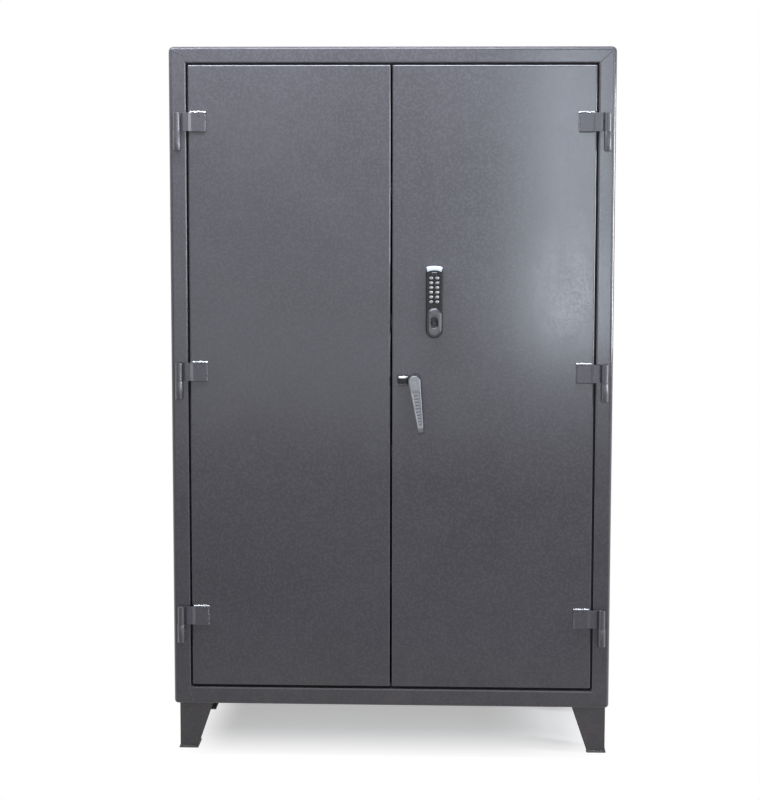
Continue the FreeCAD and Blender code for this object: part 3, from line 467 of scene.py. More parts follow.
def newTree(name, inputs):
    tree = bpy.data.node_groups.new(name, "GeometryNodeTree")
    tree.interface.new_socket("Geometry", in_out="OUTPUT", socket_type="NodeSocketGeometry")
    tree.interface.new_socket("Geometry", in_out="INPUT", socket_type="NodeSocketGeometry")
    for label, kind in inputs:
        tree.interface.new_socket(label, in_out="INPUT", socket_type="NodeSocket" + kind)
    g = Graph(tree)
    entry = tree.nodes.new("NodeGroupInput")
    return tree, g, {socket.name: Wire(g, socket) for socket in entry.outputs if socket.name}


def endTree(g, points, shape, turn, size, finish):
    copies = g.add("GeometryNodeInstanceOnPoints",
                   {"Points": points, "Instance": shape, "Rotation": turn, "Scale": size})
    real = g.add("GeometryNodeRealizeInstances", {"Geometry": copies})
    smooth = g.add("GeometryNodeSetShadeSmooth", {"Geometry": real})
    painted = g.add("GeometryNodeSetMaterial", {"Geometry": smooth, "Material": finish})
    g.add("NodeGroupOutput", {"Geometry": painted})


def attribute(g, name):
    return g.add("GeometryNodeInputNamedAttribute", {"Name": name}, data_type="FLOAT_VECTOR")


def draw(g, low, high, seed):
    return g.add("FunctionNodeRandomValue", {0: low, 1: high, "Seed": seed}, data_type="FLOAT_VECTOR")


def beadTree():
    # Overlapping ripples along each line of the guide, standing out along its "outward" attribute.
    tree, g, given = newTree("weldBead", [("Pitch", "Float"), ("Width", "Float"), ("Height", "Float"),
                                          ("Unevenness", "Float"), ("Seed", "Int"), ("Finish", "Material")])
    path = g.add("GeometryNodeMeshToCurve", {"Mesh": given["Geometry"]})
    path = g.add("GeometryNodeResampleCurve", {"Curve": path, "Length": given["Pitch"]}, mode="LENGTH")
    wander = draw(g, given["Width"] * -0.05, given["Width"] * 0.05, given["Seed"])
    path = g.add("GeometryNodeSetPosition", {"Geometry": path, "Offset": wander})
    size = g.add("ShaderNodeCombineXYZ", {"X": given["Pitch"] * 1.15, "Y": given["Width"] * 0.5,
                                          "Z": given["Height"]})
    ripple = g.add("GeometryNodeMeshUVSphere", {"Segments": 8, "Rings": 5, "Radius": 1.0})
    ripple = g.add("GeometryNodeTransform", {"Geometry": ripple, "Scale": size})
    ahead = g.add("GeometryNodeInputTangent")
    turn = g.add("FunctionNodeAlignRotationToVector", {"Vector": ahead}, axis="X")
    turn = g.add("FunctionNodeAlignRotationToVector", {"Rotation": turn, "Vector": attribute(g, "outward")},
                 axis="Z", pivot_axis="X")
    varied = draw(g, 1 - given["Unevenness"], given["Unevenness"] + 1, given["Seed"] + 7)
    endTree(g, path, ripple, turn, varied, given["Finish"])
    return tree


def repeatTree():
    # One copy of a template at each point, turned and sized by the point's "turn" and "size" attributes.
    tree, g, given = newTree("repeatPiece", [("Template", "Object"), ("Spread", "Float"), ("Seed", "Int"),
                                             ("Finish", "Material")])
    shape = g.add("GeometryNodeObjectInfo", {"Object": given["Template"]}, "Geometry")
    turn = g.add("FunctionNodeEulerToRotation", {0: attribute(g, "turn")})
    varied = draw(g, 1 - given["Spread"], given["Spread"] + 1, given["Seed"])
    size = g.add("ShaderNodeVectorMath", {0: attribute(g, "size"), 1: varied}, operation="MULTIPLY")
    endTree(g, given["Geometry"], shape, turn, size, given["Finish"])
    return tree


def grown(name, guide, tree, values):
    # Runs a tree on a guide mesh and keeps what it makes as a plain mesh.
    holder = newObject(name + "Guide", guide)
    modifier = holder.modifiers.new("grow", "NODES")
    modifier.node_group = tree
    for item in tree.interface.items_tree:
        if item.in_out == "INPUT" and item.name in values:
            modifier[item.identifier] = values[item.name]
    mesh = evaluatedMesh(holder)
    mesh.name = name
    holder.modifiers.remove(modifier)
    bpy.data.objects.remove(holder)
    return mesh


def guideMesh(name, points, edges, **vectors):
    # points and lines for a tree, with named vectors on each point
    guide = bpy.data.meshes.new(name + "Guide")
    guide.from_pydata(points, edges, [])
    for label, rows in vectors.items():
        layer = guide.attributes.new(label, "FLOAT_VECTOR", "POINT")
        for entry, vector in zip(layer.data, rows):
            entry.vector = vector
    return guide


def beadLook(pitch, width, height, unevenness, seed):
    # sizes in millimetres
    return {"Pitch": pitch * mm, "Width": width * mm, "Height": height * mm, "Unevenness": unevenness,
            "Seed": seed}


weldRipples = beadTree()
repeats = repeatTree()
cornerBead = beadLook(2.3, 7.4, 3.3, 0.22, 5)
upperBead = beadLook(2.3, 10.4, 4.2, 0.28, 5)
legBead = beadLook(2.6, 6.6, 2.9, 0.16, 9)
groundSeam = beadLook(2.2, 3.4, 0.35, 0.25, 13)
stitchBead = beadLook(2.2, 5.0, 1.9, 0.18, 17)
footBead = beadLook(1.1, 2.2, 1.1, 0.18, 17)
plateBead = beadLook(2.2, 7.5, 3.0, 0.32, 17)
guideBead = beadLook(2.2, 3.6, 1.4, 0.18, 17)
farOff = 9.0
inSheet = 1.8 * mm  # how deep a bead may reach into a sheet


def weld(name, runs, look, body, finish=seamPaint, limit=(farOff, farOff, farOff)):
    # runs holds lists of points, each with the way that its bead faces. Nothing passes limit on any axis,
    # so that no bead comes through a sheet.
    points, edges, facing = [], [], []
    for run, outward in runs:
        start = len(points)
        points += run
        edges += [(start + i, start + i + 1) for i in range(len(run) - 1)]
        facing += [Vector(outward).normalized()] * len(run)
    guide = guideMesh(name, points, edges, outward=facing)
    mesh = grown(name, guide, weldRipples, {**look, "Finish": finish})
    for vertex in mesh.vertices:
        vertex.co = [min(pair) for pair in zip(vertex.co, limit)]
    placePiece(name, mesh, [], body, sharp=180)


def repeated(name, bm, spots, finish, body, standsFor=(), sharp=38):
    # spots: (point, turn, size) for each copy of the template
    shape = bpy.data.meshes.new(name + "Template")
    bmesh.ops.remove_doubles(bm, verts=bm.verts, dist=1e-7)
    bmesh.ops.recalc_face_normals(bm, faces=bm.faces)
    bm.to_mesh(shape)
    bm.free()
    template = newObject(name + "Template", shape)
    points, turns, sizes = zip(*spots)
    guide = guideMesh(name, points, [], turn=turns, size=sizes)
    mesh = grown(name, guide, repeats, {"Template": template, "Spread": 0.0, "Seed": 1, "Finish": finish})
    bpy.data.objects.remove(template)
    placePiece(name, mesh, [], body, standsFor, sharp)


origin = Vector((0, 0, 0))


def spotsAt(places, y):
    # a plain copy at each place, brought to y
    return [(Vector((place.x, y, place.z)), origin, Vector((1, 1, 1))) for place in places]


# Sheet metal that shows its edges

legs = ["leg_front_left", "leg_front_right", "leg_rear_left", "leg_rear_right"]
softenedNodes = [
    (bodyPaint, "body_paint", {**{leg: ("body", 0.9) for leg in legs}, "foot_plates": ("body", 0.7)}),
    (hingePaint, "body_paint", {"frame_knuckles": ("body", 0.9)}),
    (hingePaint, "door_paint", {"hinge_straps_left": ("left_door", 0.9),
                                "hinge_straps_right": ("right_door", 0.9)}),
    (zincPlate, "zinc_steel", {
        "door_left_strike": ("left_door", 0.3), "rod_upper": ("upper_rod", 0.5),
        "rod_collar": ("upper_rod", 0.5), "rod_lower": ("lower_rod", 0.5),
        "rod_guides": ("right_door", 0.4), "latch_cam": ("handle", 0.5),
        "blocking_cam": ("lock_knob", 0.4), "bushing_nut": ("right_door", 0.7)}),
    (blackCase, "keypad_black", {"keypad_inner_case": ("right_door", 0.8),
                                 "keypad_housing": ("right_door", 0.35)}),
]
for finish, slot, rows in softenedNodes:
    for name, (body, width) in rows.items():
        softened(name, finish, body, width, 16 if name.startswith("hinge") else sharpBend)
print("sheet metal done")


# Lever handle

lever = Named(
    hubRadius=17.0, tipRadius=7.75, length=147.5, thickness=12.0, lean=7.5, hubRound=4.0, tipRound=3.2,
    backRound=1.2, roundRun=70.0, rimEnd=5.6, recessSlope=1.8, recessDepth=1.5, recessFrom=22.0,
    recessTo=126.0, fadeIn=12.0, fadeOut=8.0, tipDrop=8.0, tipSlope=20.0, darkTip=7.0, dimple=0.5,
    dimpleRadius=11.0, hubDepth=36.6, ribs=10, ribFrom=38.0, ribTo=119.0, ribHeight=0.9, ribHalf=(4.0, 1.5))
hubSpot = middle(*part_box("handle_spindle"))
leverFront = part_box("handle_lever")[0].y
lean = radians(lever.lean)
leverDown = Vector((sin(lean), 0, -cos(lean)))
leverRight = Vector((cos(lean), 0, sin(lean)))
big, small = lever.hubRadius, lever.tipRadius
leverRun = lever.length - small
taper = (big - small) / leverRun
straight = sqrt(1 - taper * taper)


def onLever(down, across, depth):
    # sizes in millimetres; depth counts back from the lever's front face
    spot = Vector((hubSpot.x, leverFront, hubSpot.z)) + (leverDown * down + leverRight * across) * mm
    return spot + Vector((0, depth * mm, 0))


def leverHalfWidth(down):
    if down < taper * big:
        return sqrt(max(big * big - down * down, 0))
    if down > leverRun + taper * small:
        return sqrt(max(small * small - (down - leverRun) ** 2, 0))
    return (big - taper * down) / straight


def leverEdgeDistance(down, across):
    across = abs(across)
    reach = -taper * across + straight * down
    if reach < 0:
        return big - hypot(across, down)
    if reach > straight * leverRun:
        return small - hypot(across, down - leverRun)
    return big - (straight * across + taper * down)


def ease(value):
    value = min(max(value, 0.0), 1.0)
    return value * value * (3 - 2 * value)


def roundOff(distance, radius):
    if distance >= radius:
        return 0.0
    return radius - sqrt(max(radius * radius - (radius - distance) ** 2, 0))


def leverDrop(down):
    return lever.tipDrop * ease((down - lever.length + lever.tipSlope) / lever.tipSlope)


def leverFrontDepth(down, across):
    edge = leverEdgeDistance(down, across)
    window = (ease((down - lever.recessFrom) / lever.fadeIn)
              * ease((lever.recessTo - down) / lever.fadeOut))
    slope = lever.recessSlope
    recess = lever.recessDepth * ease((edge - lever.rimEnd + slope) / slope)
    dish = lever.dimple * ease(1 - hypot(down, across) / lever.dimpleRadius)
    share = min(max(down / lever.roundRun, 0), 1)
    radius = lever.hubRound * (1 - share) + lever.tipRound * share
    return roundOff(edge, radius) + recess * window + dish + leverDrop(down)


def leverRings():
    hubSteps, runSteps, tipSteps = 22, 84, 14
    downs = [-big * cos(pi / 2 * i / hubSteps) for i in range(hubSteps)]
    downs += [leverRun * i / runSteps for i in range(runSteps)]
    downs += [leverRun + small * sin(pi / 2 * i / tipSteps) for i in range(tipSteps + 1)]
    insets = [0, 0.15, 0.45, 0.9, 1.4, 2.0, 2.7, 3.5, 4.4, 5.3, 6.1, 7.0, 8.2, 10.0, 12.5]
    rings = []
    for down in downs:
        half = leverHalfWidth(down)
        across = [-max(half - inset, 0) for inset in insets] + [0]
        across += [-value for value in across[-2::-1]]
        front = [onLever(down, value, leverFrontDepth(down, value)) for value in across]
        back = [onLever(down, value, lever.thickness + leverDrop(down)
                        - roundOff(leverEdgeDistance(down, value), lever.backRound)) for value in across]
        rings.append(front + back[::-1])
    return rings


bm = bmesh.new()
joinRings(bm, leverRings())
# the tip's last faces take the darker cast finish, painted shade where the tip turns down
for face in bm.faces:
    reach = (face.calc_center_median() - hubSpot).dot(leverDown)
    face.material_index = int(reach > (lever.length - lever.darkTip) * mm)
hubRows = [(16.0, lever.thickness - 1.0), (16.0, lever.hubDepth - 0.8), (15.2, lever.hubDepth)]
joinRings(bm, roundRings(hubSpot, hubRows, 56, leverFront))
finishPiece("leverGrip", bm, [castLever, shadedCast], "handle", ["handle_lever"],
            sharp=50, seams=2e-5)

bm = bmesh.new()
ribWide, ribTall = lever.ribHalf
ribRows = [(1.0, 1.0, 0.0), (1.0, 1.0, -0.45), (0.86, 0.62, -0.9)]
joinRings(bm, [ovalRing(origin, ribWide * mm * wide, ribTall * mm * tall, depth * lever.ribHeight * mm, 12)
               for wide, tall, depth in ribRows])
ribSpots = []
for i in range(lever.ribs):
    down = lever.ribFrom + (lever.ribTo - lever.ribFrom) * i / (lever.ribs - 1)
    narrow = (leverHalfWidth(down) - lever.rimEnd - 0.4) / ribWide
    ribSpots.append((onLever(down, 0, lever.recessDepth + leverDrop(down) + 0.05), Vector((0, -lean, 0)),
                     Vector((min(narrow, 1.6), 1, 1))))
# the ribs take the darker cast finish, painted shade round the raised marks
repeated("leverRibs", bm, ribSpots, shadedCast, "handle")
print("lever done")


# Padlock bow

bow = Named(barRadius=3.75, bend=5.0, plateThickness=3.0, plateCorner=1.6, barInset=1.0, bendSteps=12,
            plateBeadDown=1.5)
bowLow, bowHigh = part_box("padlock_staple")
plateBack = bowHigh.y
barZ = bowHigh.z - (bow.barRadius + bow.barInset) * mm
barLeft = bowLow.x + (bow.barRadius + bow.barInset) * mm
barRight = bowHigh.x - bow.barRadius * mm
barY = bowLow.y + bow.barRadius * mm
plateY = plateBack - bow.plateThickness * mm

# the bar's path: points, each with the way that its outer side faces there
bend, footY = bow.bend * mm, plateY + 0.5 * mm
path = [(Vector((barLeft, footY, barZ)), pi)]
for x, start in ((barLeft + bend, pi), (barRight - bend, pi * 1.5)):
    for i in range(bow.bendSteps + 1):
        turn = start + pi / 2 * i / bow.bendSteps
        path.append((Vector((x + bend * cos(turn), barY + bend + bend * sin(turn), barZ)), turn))
path.append((Vector((barRight, footY, barZ)), 2 * pi))
bm = bmesh.new()
rings = []
for spot, turn in path:
    outward = Vector((cos(turn), sin(turn), 0))
    rings.append([spot + (outward * cos(a) + Vector((0, 0, 1)) * sin(a)) * bow.barRadius * mm
                  for a in (2 * pi * i / 28 for i in range(28))])
joinRings(bm, rings)
barFaces = len(bm.faces)
plateSpot, halfWide, halfTall = measures(bowLow, bowHigh)
thick = bow.plateThickness
plateRows = [(0, 0), (0, thick - 0.7), (0.25, thick - 0.2), (0.8, thick)]
joinRings(bm, [boxRing(plateSpot, halfWide - inset * mm, halfTall - inset * mm, bow.plateCorner * mm,
                       plateBack - rise * mm) for inset, rise in plateRows])
# the plate takes the near-black steel, painted shade for the bar's shadow on it
markFrom(bm, barFaces)
finishPiece("padlockBow", bm, [stapleSteel, darkSteelAndShade], "right_door", ["padlock_staple"],
            sharp=40)
bowFeet = []
for x in (barLeft, barRight):
    radius = (bow.barRadius + 0.3) * mm
    arc = [Vector((x + radius * cos(a), plateY, barZ + radius * sin(a)))
           for a in (pi * i / 8 for i in range(17))]
    if x == barRight:
        arc = [point for point in arc if point.x < barRight]
    bowFeet.append((arc, (0, -1, 0)))
# the beads at the bar's feet take it too, painted shade under the bar
weld("bowFootBeads", bowFeet, footBead, "right_door", darkSteelAndShade)
plateLine = [Vector((x, plateBack, bowLow.z - bow.plateBeadDown * mm))
             for x in (bowLow.x + 2 * mm, bowHigh.x - 4 * mm)]
weld("bowPlateBead", [(plateLine, (0, -1, 0.2))], plateBead, "right_door", brightSeam,
     limit=(farOff, plateBack + inSheet, farOff))
print("padlock bow done")


# Keypad lock

keypad = Named(
    capTaper=0.13, capEdge=0.5, keyDome=1.5, keySide=1.5, keyCrown=1.8, numeralHeight=3.7, fontForHeight=1.36,
    numeralProud=0.06, wellGap=0.3, wellRim=0.9, wellProud=0.35, lensRadiusBelow=2.0, plateCorner=0.7)
lockLow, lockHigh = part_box("keypad_housing")
lockX = middle(lockLow, lockHigh).x
caseFront = lockLow.y

# the cap's sides slant in towards its lower edge
capLow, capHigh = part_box("keypad_cap")
bm = mergedCopy("keypad_cap")
roundEdges(bm, keypad.capEdge, 30)
for vert in bm.verts:
    sunk = (capHigh.z - vert.co.z) / (capHigh.z - capLow.z)
    vert.co.x = lockX + (vert.co.x - lockX) * (1 - keypad.capTaper * sunk)
finishPiece("capShield", bm, [capMetal], "right_door", ["keypad_cap"], sharp=30, seams=0)


def numeralMesh(text, centre, y, tall):
    curve = bpy.data.curves.new("numeral", "FONT")
    curve.body = text
    curve.size = tall * keypad.fontForHeight
    curve.extrude = keypad.numeralProud * mm
    curve.resolution_u = 3
    holder = newObject("numeral", curve)
    mesh = evaluatedMesh(holder)
    bpy.data.objects.remove(holder)
    mesh.transform(Matrix.Translation(-middle(*extent([v.co for v in mesh.vertices]))))
    mesh.transform(Matrix.Translation(Vector((centre.x, y, centre.z))) @ Matrix.Rotation(pi / 2, 4, "X"))
    return mesh


def keyButton(number, text):
    name = "key_%02d" % number
    low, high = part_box(name)
    centre, wide, tall = measures(low, high)
    top = low.y
    side, dome = keypad.keySide * mm, keypad.keyDome * mm
    rows = [(0, high.y)] + [(side * (1 - cos(a)), top + dome + side * (1 - sin(a)) * 0.6)
                            for a in (pi / 2 * i / 5 for i in range(6))]
    rows += [(side + (tall - side) * share, top + dome * (1 - share) ** keypad.keyCrown)
             for share in (0.2, 0.4, 0.6, 0.8, 0.93)]
    bm = bmesh.new()
    joinRings(bm, [ovalRing(centre, wide - inset, tall - inset, y, 40) for inset, y in rows])
    bmesh.ops.recalc_face_normals(bm, faces=bm.faces)
    inked = len(bm.faces)
    bm.from_mesh(numeralMesh(text, centre, top + 0.08 * mm, keypad.numeralHeight * mm))
    markFrom(bm, inked)
    finishPiece("keyButton%02d" % number, bm, [keyChrome, keyInk], name + "_button", [name],
                seams=0)
    return centre


keySpots = [keyButton(number, mark) for number, mark in enumerate("1234567890+-", start=1)]
keyWide, keyTall = measures(*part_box("key_01"))[1:]

# a low rim round each key
bm = bmesh.new()
gap, rim, proud = (size * mm for size in (keypad.wellGap, keypad.wellRim, keypad.wellProud))
rimRows = [(gap, 0.4 * mm), (gap, -proud * 0.6), (gap + 0.25 * mm, -proud), (gap + rim * 0.7, -proud),
           (gap + rim, 0.4 * mm)]
rimRings = [ovalRing(origin, keyWide + out, keyTall + out, y, 28) for out, y in rimRows]
joinRings(bm, rimRings + rimRings[:1], closed=False)
wellSpots = spotsAt(keySpots, caseFront)
repeated("keyWells", bm, wellSpots, blackCase, "right_door")

# knob that turns, with its sunk oval and the key cylinder
knob = Named(bevel=6.8, bevelDepth=4.3, softEdge=0.7, rimBevel=2.8, recess=4.0, ovalWide=17.6, ovalTall=27.0,
             cylinder=7.5, keyway=(1.0, 4.0), keywayDepth=3.0)
knobLow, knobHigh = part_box("keypad_knob")
knobSpot, halfWide, halfTall = measures(knobLow, knobHigh)
ovalWide, ovalTall = knob.ovalWide / 2 * mm, knob.ovalTall / 2 * mm
bevel, soft, rim = knob.bevel * mm, knob.softEdge * mm, knob.rimBevel * mm
front = knobLow.y
deep = front + knob.bevelDepth * mm
sunk = front + knob.recess * mm
outer = [(0.6 * mm, knobHigh.y), (0, knobHigh.y - 0.6 * mm), (0, deep + soft), (soft * 0.3, deep),
         (soft, deep - soft * 0.7), (bevel - soft, front + soft * 0.5),
         (bevel - soft * 0.3, front + soft * 0.12), (bevel + soft * 0.5, front)]
bm = bmesh.new()
rings = [ovalRing(knobSpot, halfWide - inset, halfTall - inset, y, 64) for inset, y in outer]
inner = [(rim + 0.3 * mm, front), (rim - 0.1 * mm, front + 0.12 * mm), (0.35 * mm, front + rim * 0.9),
         (0, front + rim + 0.2 * mm), (0, sunk - 0.3 * mm), (-0.3 * mm, sunk)]
rings += [ovalRing(knobSpot, ovalWide + out, ovalTall + out, y, 64) for out, y in inner]
joinRings(bm, rings)
finishPiece("knobBody", bm, [knobMetal], "lock_knob", ["keypad_knob"], sharp=60)

# the cylinder's face with its keyway
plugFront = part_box("key_cylinder")[0].y
radius = knob.cylinder
slotWide, slotTall = knob.keyway
plugRings = [ovalRing(knobSpot, radius * mm, radius * mm, sunk + 0.5 * mm, 48)]
plugRows = [(radius, 0.5), (radius - 0.5, 0), (radius - 2.0, 0), (radius - 2.2, 0.25)]
plugRings += roundRings(knobSpot, plugRows, 48, plugFront)
plugRings += [ovalRing(knobSpot, (slotWide + out) * mm, (slotTall + out) * mm, plugFront + depth * mm, 48)
              for out, depth in ((0.2, 0.25), (0, 0.45), (0, knob.keywayDepth))]
bm = bmesh.new()
joinRings(bm, plugRings)
finishPiece("lockPlug", bm, [darkSteelAndShade], "lock_knob", ["key_cylinder"], sharp=40)

# two small lenses and a bare plate
bm = bmesh.new()
lensFaces = 0
for low, high in sorted(islands("keypad_lights"), key=lambda box: box[1].x - box[0].x):
    centre, wide, tall = measures(low, high)
    if wide < keypad.lensRadiusBelow * mm:
        dome = [(0, high.y), (0, low.y + 0.35 * mm), (0.3 * wide, low.y + 0.12 * mm), (0.7 * wide, low.y)]
        joinRings(bm, [ovalRing(centre, wide - inset, tall - inset, y, 20) for inset, y in dome])
        lensFaces = len(bm.faces)
    else:
        slab = [(0, high.y), (0, low.y + 0.25 * mm), (0.25 * mm, low.y)]
        joinRings(bm, [boxRing(centre, wide - inset, tall - inset, keypad.plateCorner * mm, y, 24)
                       for inset, y in slab])
markFrom(bm, lensFaces)
finishPiece("statusLights", bm, [smokedLens, castLever], "right_door", ["keypad_lights"])

# heads of the two screws in the inner case, each with a hexagon socket
screw = Named(headRows=[(5.0, 0.0), (5.0, 1.2), (4.6, 1.9), (3.6, 2.4), (2.7, 2.5)], socket=2.0,
              socketDepths=(2.5, 1.0), sides=36)
bm = bmesh.new()
rings = roundRings(origin, screw.headRows, screw.sides)
for depth in screw.socketDepths:
    ring = []
    for i in range(screw.sides):
        turn = 2 * pi * (i + 0.5) / screw.sides
        reach = screw.socket * mm * cos(pi / 6) / cos((turn % (pi / 3)) - pi / 6)
        ring.append(Vector((reach * cos(turn), depth * mm, reach * sin(turn))))
    rings.append(ring)
joinRings(bm, rings)
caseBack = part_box("keypad_inner_case")[1].y
screwSpots = spotsAt([middle(*box) for box in islands("keypad_screws")], caseBack)
repeated("caseScrews", bm, screwSpots, zincPlate, "right_door", ["keypad_screws"], sharp=30)
print("keypad lock done")


# Rubber bumpers on the stops

domeRows = [(5.0, 0.0), (5.0, -1.3), (4.7, -1.85), (4.0, -2.15), (2.6, -2.35), (1.2, -2.4)]
bm = bmesh.new()
joinRings(bm, roundRings(origin, domeRows, 28))
bumperSpots = spotsAt([middle(*box) for box in islands("stop_bumpers")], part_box("stop_bumpers")[1].y)
repeated("bumperDomes", bm, bumperSpots, rubber, "body", ["stop_bumpers"])


# Welds

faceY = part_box("side_panel_right")[0].y
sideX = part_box("side_panel_right")[1].x
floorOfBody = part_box("bottom_panel")[0].z
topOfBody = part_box("top_panel")[1].z
strap = Named(pinFromSide=22.5, beadEnd=36.0, beadIn=1.0, beadDeep=0.6, cornerGap=1.5)
knuckle = Named(beadAside=7.2, beadDeep=0.7, beadFrom=1.0, beadTo=3.0, under=6.0, underDeep=2.0)
pinX = sideX - strap.pinFromSide * mm
inFront = (farOff, faceY + inSheet, farOff)


def line(start, end, count=2):
    start, end = Vector(start), Vector(end)
    return [start + (end - start) * (i / (count - 1)) for i in range(count)]


for side, hand in ((-1, "left"), (1, "right")):
    # the bead on each strap's upper edge, then those on its other edges
    above, others = [], []
    inner = side * (pinX - strap.beadEnd * mm)
    y, gap = faceY - strap.beadDeep * mm, strap.cornerGap * mm
    for low, high in islands("hinge_straps_" + hand):
        end = high.x if side < 0 else low.x
        start = end - side * strap.beadIn * mm
        above.append((line((start, y, high.z), (inner, y, high.z)), (0, -1, 1)))
        others.append((line((start, y, low.z), (inner, y, low.z)), (0, -1, -1)))
        others.append((line((end, y, low.z + gap), (end, y, high.z - gap)), (-side, -1, 0)))
    body, label = hand + "_door", hand.capitalize()
    weld("upperBeads" + label, above, upperBead, body, brightSeam, limit=inFront)
    weld("strapBeads" + label, others, cornerBead, body, limit=inFront)

runs = []
for low, high in islands("frame_knuckles"):
    x, y = middle(low, high).x, faceY - knuckle.beadDeep * mm
    for side in (-1, 1):
        place = x + side * knuckle.beadAside * mm
        runs.append((line((place, y, low.z + knuckle.beadFrom * mm),
                          (place, y, high.z - knuckle.beadTo * mm)), (side, -0.4, 0)))
    y, under = faceY - knuckle.underDeep * mm, knuckle.under * mm
    runs.append((line((x - under, y, low.z), (x + under, y, low.z)), (0, -0.7, -1)))
weld("knuckleBeads", runs, cornerBead, "body", limit=inFront)

# each leg's beads: under the body on its face, at the top of its side, and at the foot on both
foot = Named(inset=0.4, belowTop=0.8, overTop=0.5, sideInset=0.6, sideUp=5.4, sideRun=78.0, faceUp=5.2,
             faceRun=50.0)
runs = []
for name in legs:
    low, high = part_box(name)
    side = -1 if low.x < 0 else 1
    end = -1 if name.startswith("leg_front") else 1
    face, far = (low.y, high.y) if end < 0 else (high.y, low.y)
    outer = (low.x if side < 0 else high.x) - side * foot.inset * mm
    inner = high.x if side < 0 else low.x
    edge = outer - side * foot.sideInset * mm
    below, over = high.z - foot.belowTop * mm, high.z + foot.overTop * mm
    sideUp, faceUp = foot.sideUp * mm, foot.faceUp * mm
    sideEnd, faceEnd = face - end * foot.sideRun * mm, outer - side * foot.faceRun * mm
    runs.append((line((outer, face, below), (inner, face, below)), (0, end, -1)))
    runs.append((line((edge, face, over), (edge, far, over)), (side, 0, -1)))
    runs.append((line((outer, face, sideUp), (outer, sideEnd, sideUp)), (side, 0, 1)))
    runs.append((line((outer, face, faceUp), (faceEnd, face, faceUp)), (0, end, 0.6)))
weld("legBeads", runs, legBead, "body", limit=(farOff, farOff, floorOfBody + inSheet))

# ground seams of the body's front: places across and up, in millimetres
seam = Named(mitre={-1: (568.0, 1957.0), 1: (567.2, 1941.6)}, mitreEnd=(599.2, 1970.6),
             over=((10.0, 0.0), (7.4, 1.2), (5.6, 3.2)), corner=(561.4, 205.0), cornerBack=1.6,
             cornerSteps=(0.0, 1.8, 3.6), butt=((571.0, 196.6), (556.0, 162.6)))


def onFront(side, across, up, back=0.0):
    return Vector((side * across * mm, faceY + back * mm, up * mm))


runs = []
for side in (-1, 1):
    runs.append((line(onFront(side, *seam.mitre[side]), onFront(side, *seam.mitreEnd), 4), (0, -1, 0)))
    over = [Vector((side * (sideX - out * mm), faceY + back * mm, topOfBody - out * mm))
            for out, back in seam.over]
    runs.append((over, (side * 0.4, -1, 0.4)))
    across, up = seam.corner
    runs.append(([onFront(side, across - step, up - step, seam.cornerBack)
                  for step in seam.cornerSteps], (-side, -1, 1)))
    runs.append((line(*(onFront(side, *place) for place in seam.butt), 4), (0, -1, 0)))
weld("groundSeams", runs, groundSeam, "body", bodyPaint)

# lengths in millimetres, and how many on each door's stiffener and up and across the back
stitch = Named(length=38.0, doorCount=7, doorEnd=20.0, backCount=(9, 7), backEnd=60.0, deep=0.4, guideEnd=2.0)
deep, guideEnd = stitch.deep * mm, stitch.guideEnd * mm
doorEnd, backEnd = stitch.doorEnd * mm, stitch.backEnd * mm


def stitches(start, end, outward, count):
    # short runs, spaced evenly from start to end
    start, end = Vector(start), Vector(end)
    way = (end - start).normalized()
    length = stitch.length * mm
    reach = (end - start).length - length
    places = [reach * i / (count - 1) for i in range(count)]
    return [(line(start + way * place, start + way * (place + length)), outward) for place in places]


for hand in ("left", "right"):
    low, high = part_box("door_%s_stiffener" % hand)
    y = low.y + deep
    runs = []
    for side, x in ((-1, low.x), (1, high.x)):
        runs += stitches((x, y, low.z + doorEnd), (x, y, high.z - doorEnd), (side, 1, 0), stitch.doorCount)
    weld("stiffenerStitches" + hand.capitalize(), runs, stitchBead, hand + "_door")

low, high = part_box("back_panel")
upCount, acrossCount = stitch.backCount
runs = []
for side, x in ((-1, low.x), (1, high.x)):
    runs += stitches((x, high.y, low.z + backEnd), (x, high.y, high.z - backEnd), (-side, 1, 0), upCount)
for side, z in ((-1, low.z), (1, high.z)):
    runs += stitches((low.x + backEnd, high.y, z), (high.x - backEnd, high.y, z), (0, 1, -side), acrossCount)
weld("backStitches", runs, stitchBead, "body")

runs = []
for low, high in islands("rod_guides"):
    y = low.y + deep
    for side, z in ((-1, low.z), (1, high.z)):
        runs.append((line((low.x + guideEnd, y, z), (high.x - guideEnd, y, z)), (0, 1, side)))
weld("guideBeads", runs, guideBead, "right_door", zincPlate)
print("welds done")


# Floor, world and lights

studio = Named(
    floorRadius=60, floorGlow=0.43, floorCatch=0.90, mottleScale=55.0, shadowSide=(0.46, 0.64),
    shadowFront=(0.00, 0.40), shadowBack=(0.35, 0.70))
bpy.ops.mesh.primitive_circle_add(vertices=96, radius=studio.floorRadius, fill_type="NGON",
                                  location=(0, 0, 0))
floor = bpy.context.active_object
floor.name = "studioFloor"
floor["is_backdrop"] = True


def seenRays(g):
    # 1 for rays from the camera, and for mirrored and refracted ones
    kinds = ("Is Camera Ray", "Is Glossy Ray", "Is Transmission Ray")
    first, second, third = (g.add("ShaderNodeLightPath", output=kind) for kind in kinds)
    return first.atLeast(second).atLeast(third)


def mixed(g, share, first, second):
    return g.add("ShaderNodeMixShader", {0: share, 1: first, 2: second})


def glow(g, strength):
    return g.add("ShaderNodeEmission", {"Color": rgb(1, 1, 1), "Strength": strength})


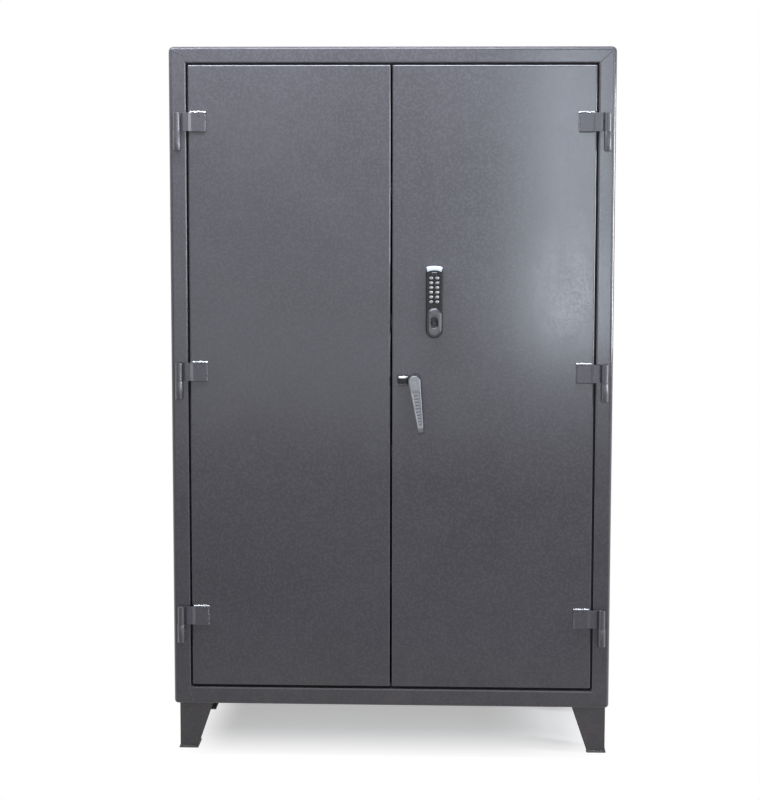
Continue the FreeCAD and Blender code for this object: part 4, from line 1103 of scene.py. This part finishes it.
finish, g = newFinish("paleFloor")
side, depth = g.along("X").away(), g.along("Y")
near = ((1 - side.rise(*studio.shadowSide)) * (1 - (0 - depth).rise(*studio.shadowFront))
        * (1 - depth.rise(*studio.shadowBack)))
mottle = g.noise(g.place(), studio.mottleScale, 3.0)
catching = g.tint(mottle, rgb(0.64, 0.64, 0.64), rgb(0.67, 0.67, 0.67))
catcher = g.add("ShaderNodeBsdfDiffuse", {"Color": catching})
catch = studio.floorCatch
lit = g.add("ShaderNodeBsdfDiffuse", {"Color": rgb(catch, catch, catch)})
shadowed = g.add("ShaderNodeAddShader", {0: glow(g, studio.floorGlow), 1: lit})
seen = mixed(g, near, glow(g, 1.0), shadowed)
g.add("ShaderNodeOutputMaterial", {"Surface": mixed(g, seenRays(g), catcher, seen)})
floor.data.materials.append(finish)

world = bpy.data.worlds.new("studio")
bpy.context.scene.world = world
world.use_nodes = True
g = Graph(world.node_tree)
dark = g.add("ShaderNodeBackground", {"Strength": 0.0})
bright = g.add("ShaderNodeBackground", {"Color": rgb(1, 1, 1), "Strength": 1.0})
g.add("ShaderNodeOutputWorld", {"Surface": mixed(g, seenRays(g), dark, bright)})

# each light's place, aim, width, height, power and colour
softBoxes = {
    "over": ((-0.35, -0.72, 2.60), (-0.35, -0.72, 0.0), 2.0, 0.3, 48, (0.93, 1.0, 1.09)),
    "edge": ((2.4, -0.66, 1.45), (0.0, -0.66, 1.45), 0.5, 0.95, 30, (0.96, 1.0, 1.05)),
    "side": ((3.2, -3.7, 1.60), (0.57, -0.35, 1.60), 1.8, 1.2, 50, (0.96, 1.0, 1.05)),
    "glareHigh": ((0.80, -6.7, 1.82), (0.80, 0.0, 1.82), 0.38, 1.15, 14, (0.87, 1.02, 1.13)),
    "glareLow": ((0.80, -6.7, 0.90), (0.80, 0.0, 0.90), 0.38, 0.60, 12, (0.90, 1.0, 1.13)),
    "wall": ((0.0, -7.6, 2.0), (0.0, 0.0, 2.0), 7.0, 4.0, 130, (0.95, 1.0, 1.05)),
}
for name, (place, aim, wide, tall, power, colour) in softBoxes.items():
    data = bpy.data.lights.new(name, "AREA")
    data.shape = "RECTANGLE"
    data.size, data.size_y = wide, tall
    data.energy = power
    data.color = colour
    lamp = newObject(name, data)
    lamp.location = place
    lamp.rotation_euler = (Vector(aim) - Vector(place)).to_track_quat("-Z", "Y").to_euler()
    lamp.visible_camera = False


# Camera

view = Named(place=(0.218131, -6.200988, 1.676570), turn=-0.042474, down=0.112209, roll=0.001107,
             lens=2135.389 * 36 / 760, sensor=36, farEnd=200)
turn, down, roll = view.turn, view.down, view.roll
forward = Vector((sin(turn) * cos(down), cos(turn) * cos(down), -sin(down)))
right = Vector((cos(turn), -sin(turn), 0))
up = right.cross(forward)
c, s = cos(roll), sin(roll)
right, up = right * c + up * s, up * c - right * s
data = bpy.data.cameras.new("camera")
data.sensor_fit = "HORIZONTAL"
data.sensor_width = view.sensor
data.lens = view.lens
data.clip_end = view.farEnd
camera = newObject("camera", data)
turned = Matrix((right, up, -forward)).transposed()
camera.matrix_world = Matrix.Translation(view.place) @ turned.to_4x4()
bpy.context.scene.camera = camera
bpy.context.scene.view_settings.view_transform = "Standard"
print("studio ready")

low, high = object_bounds()
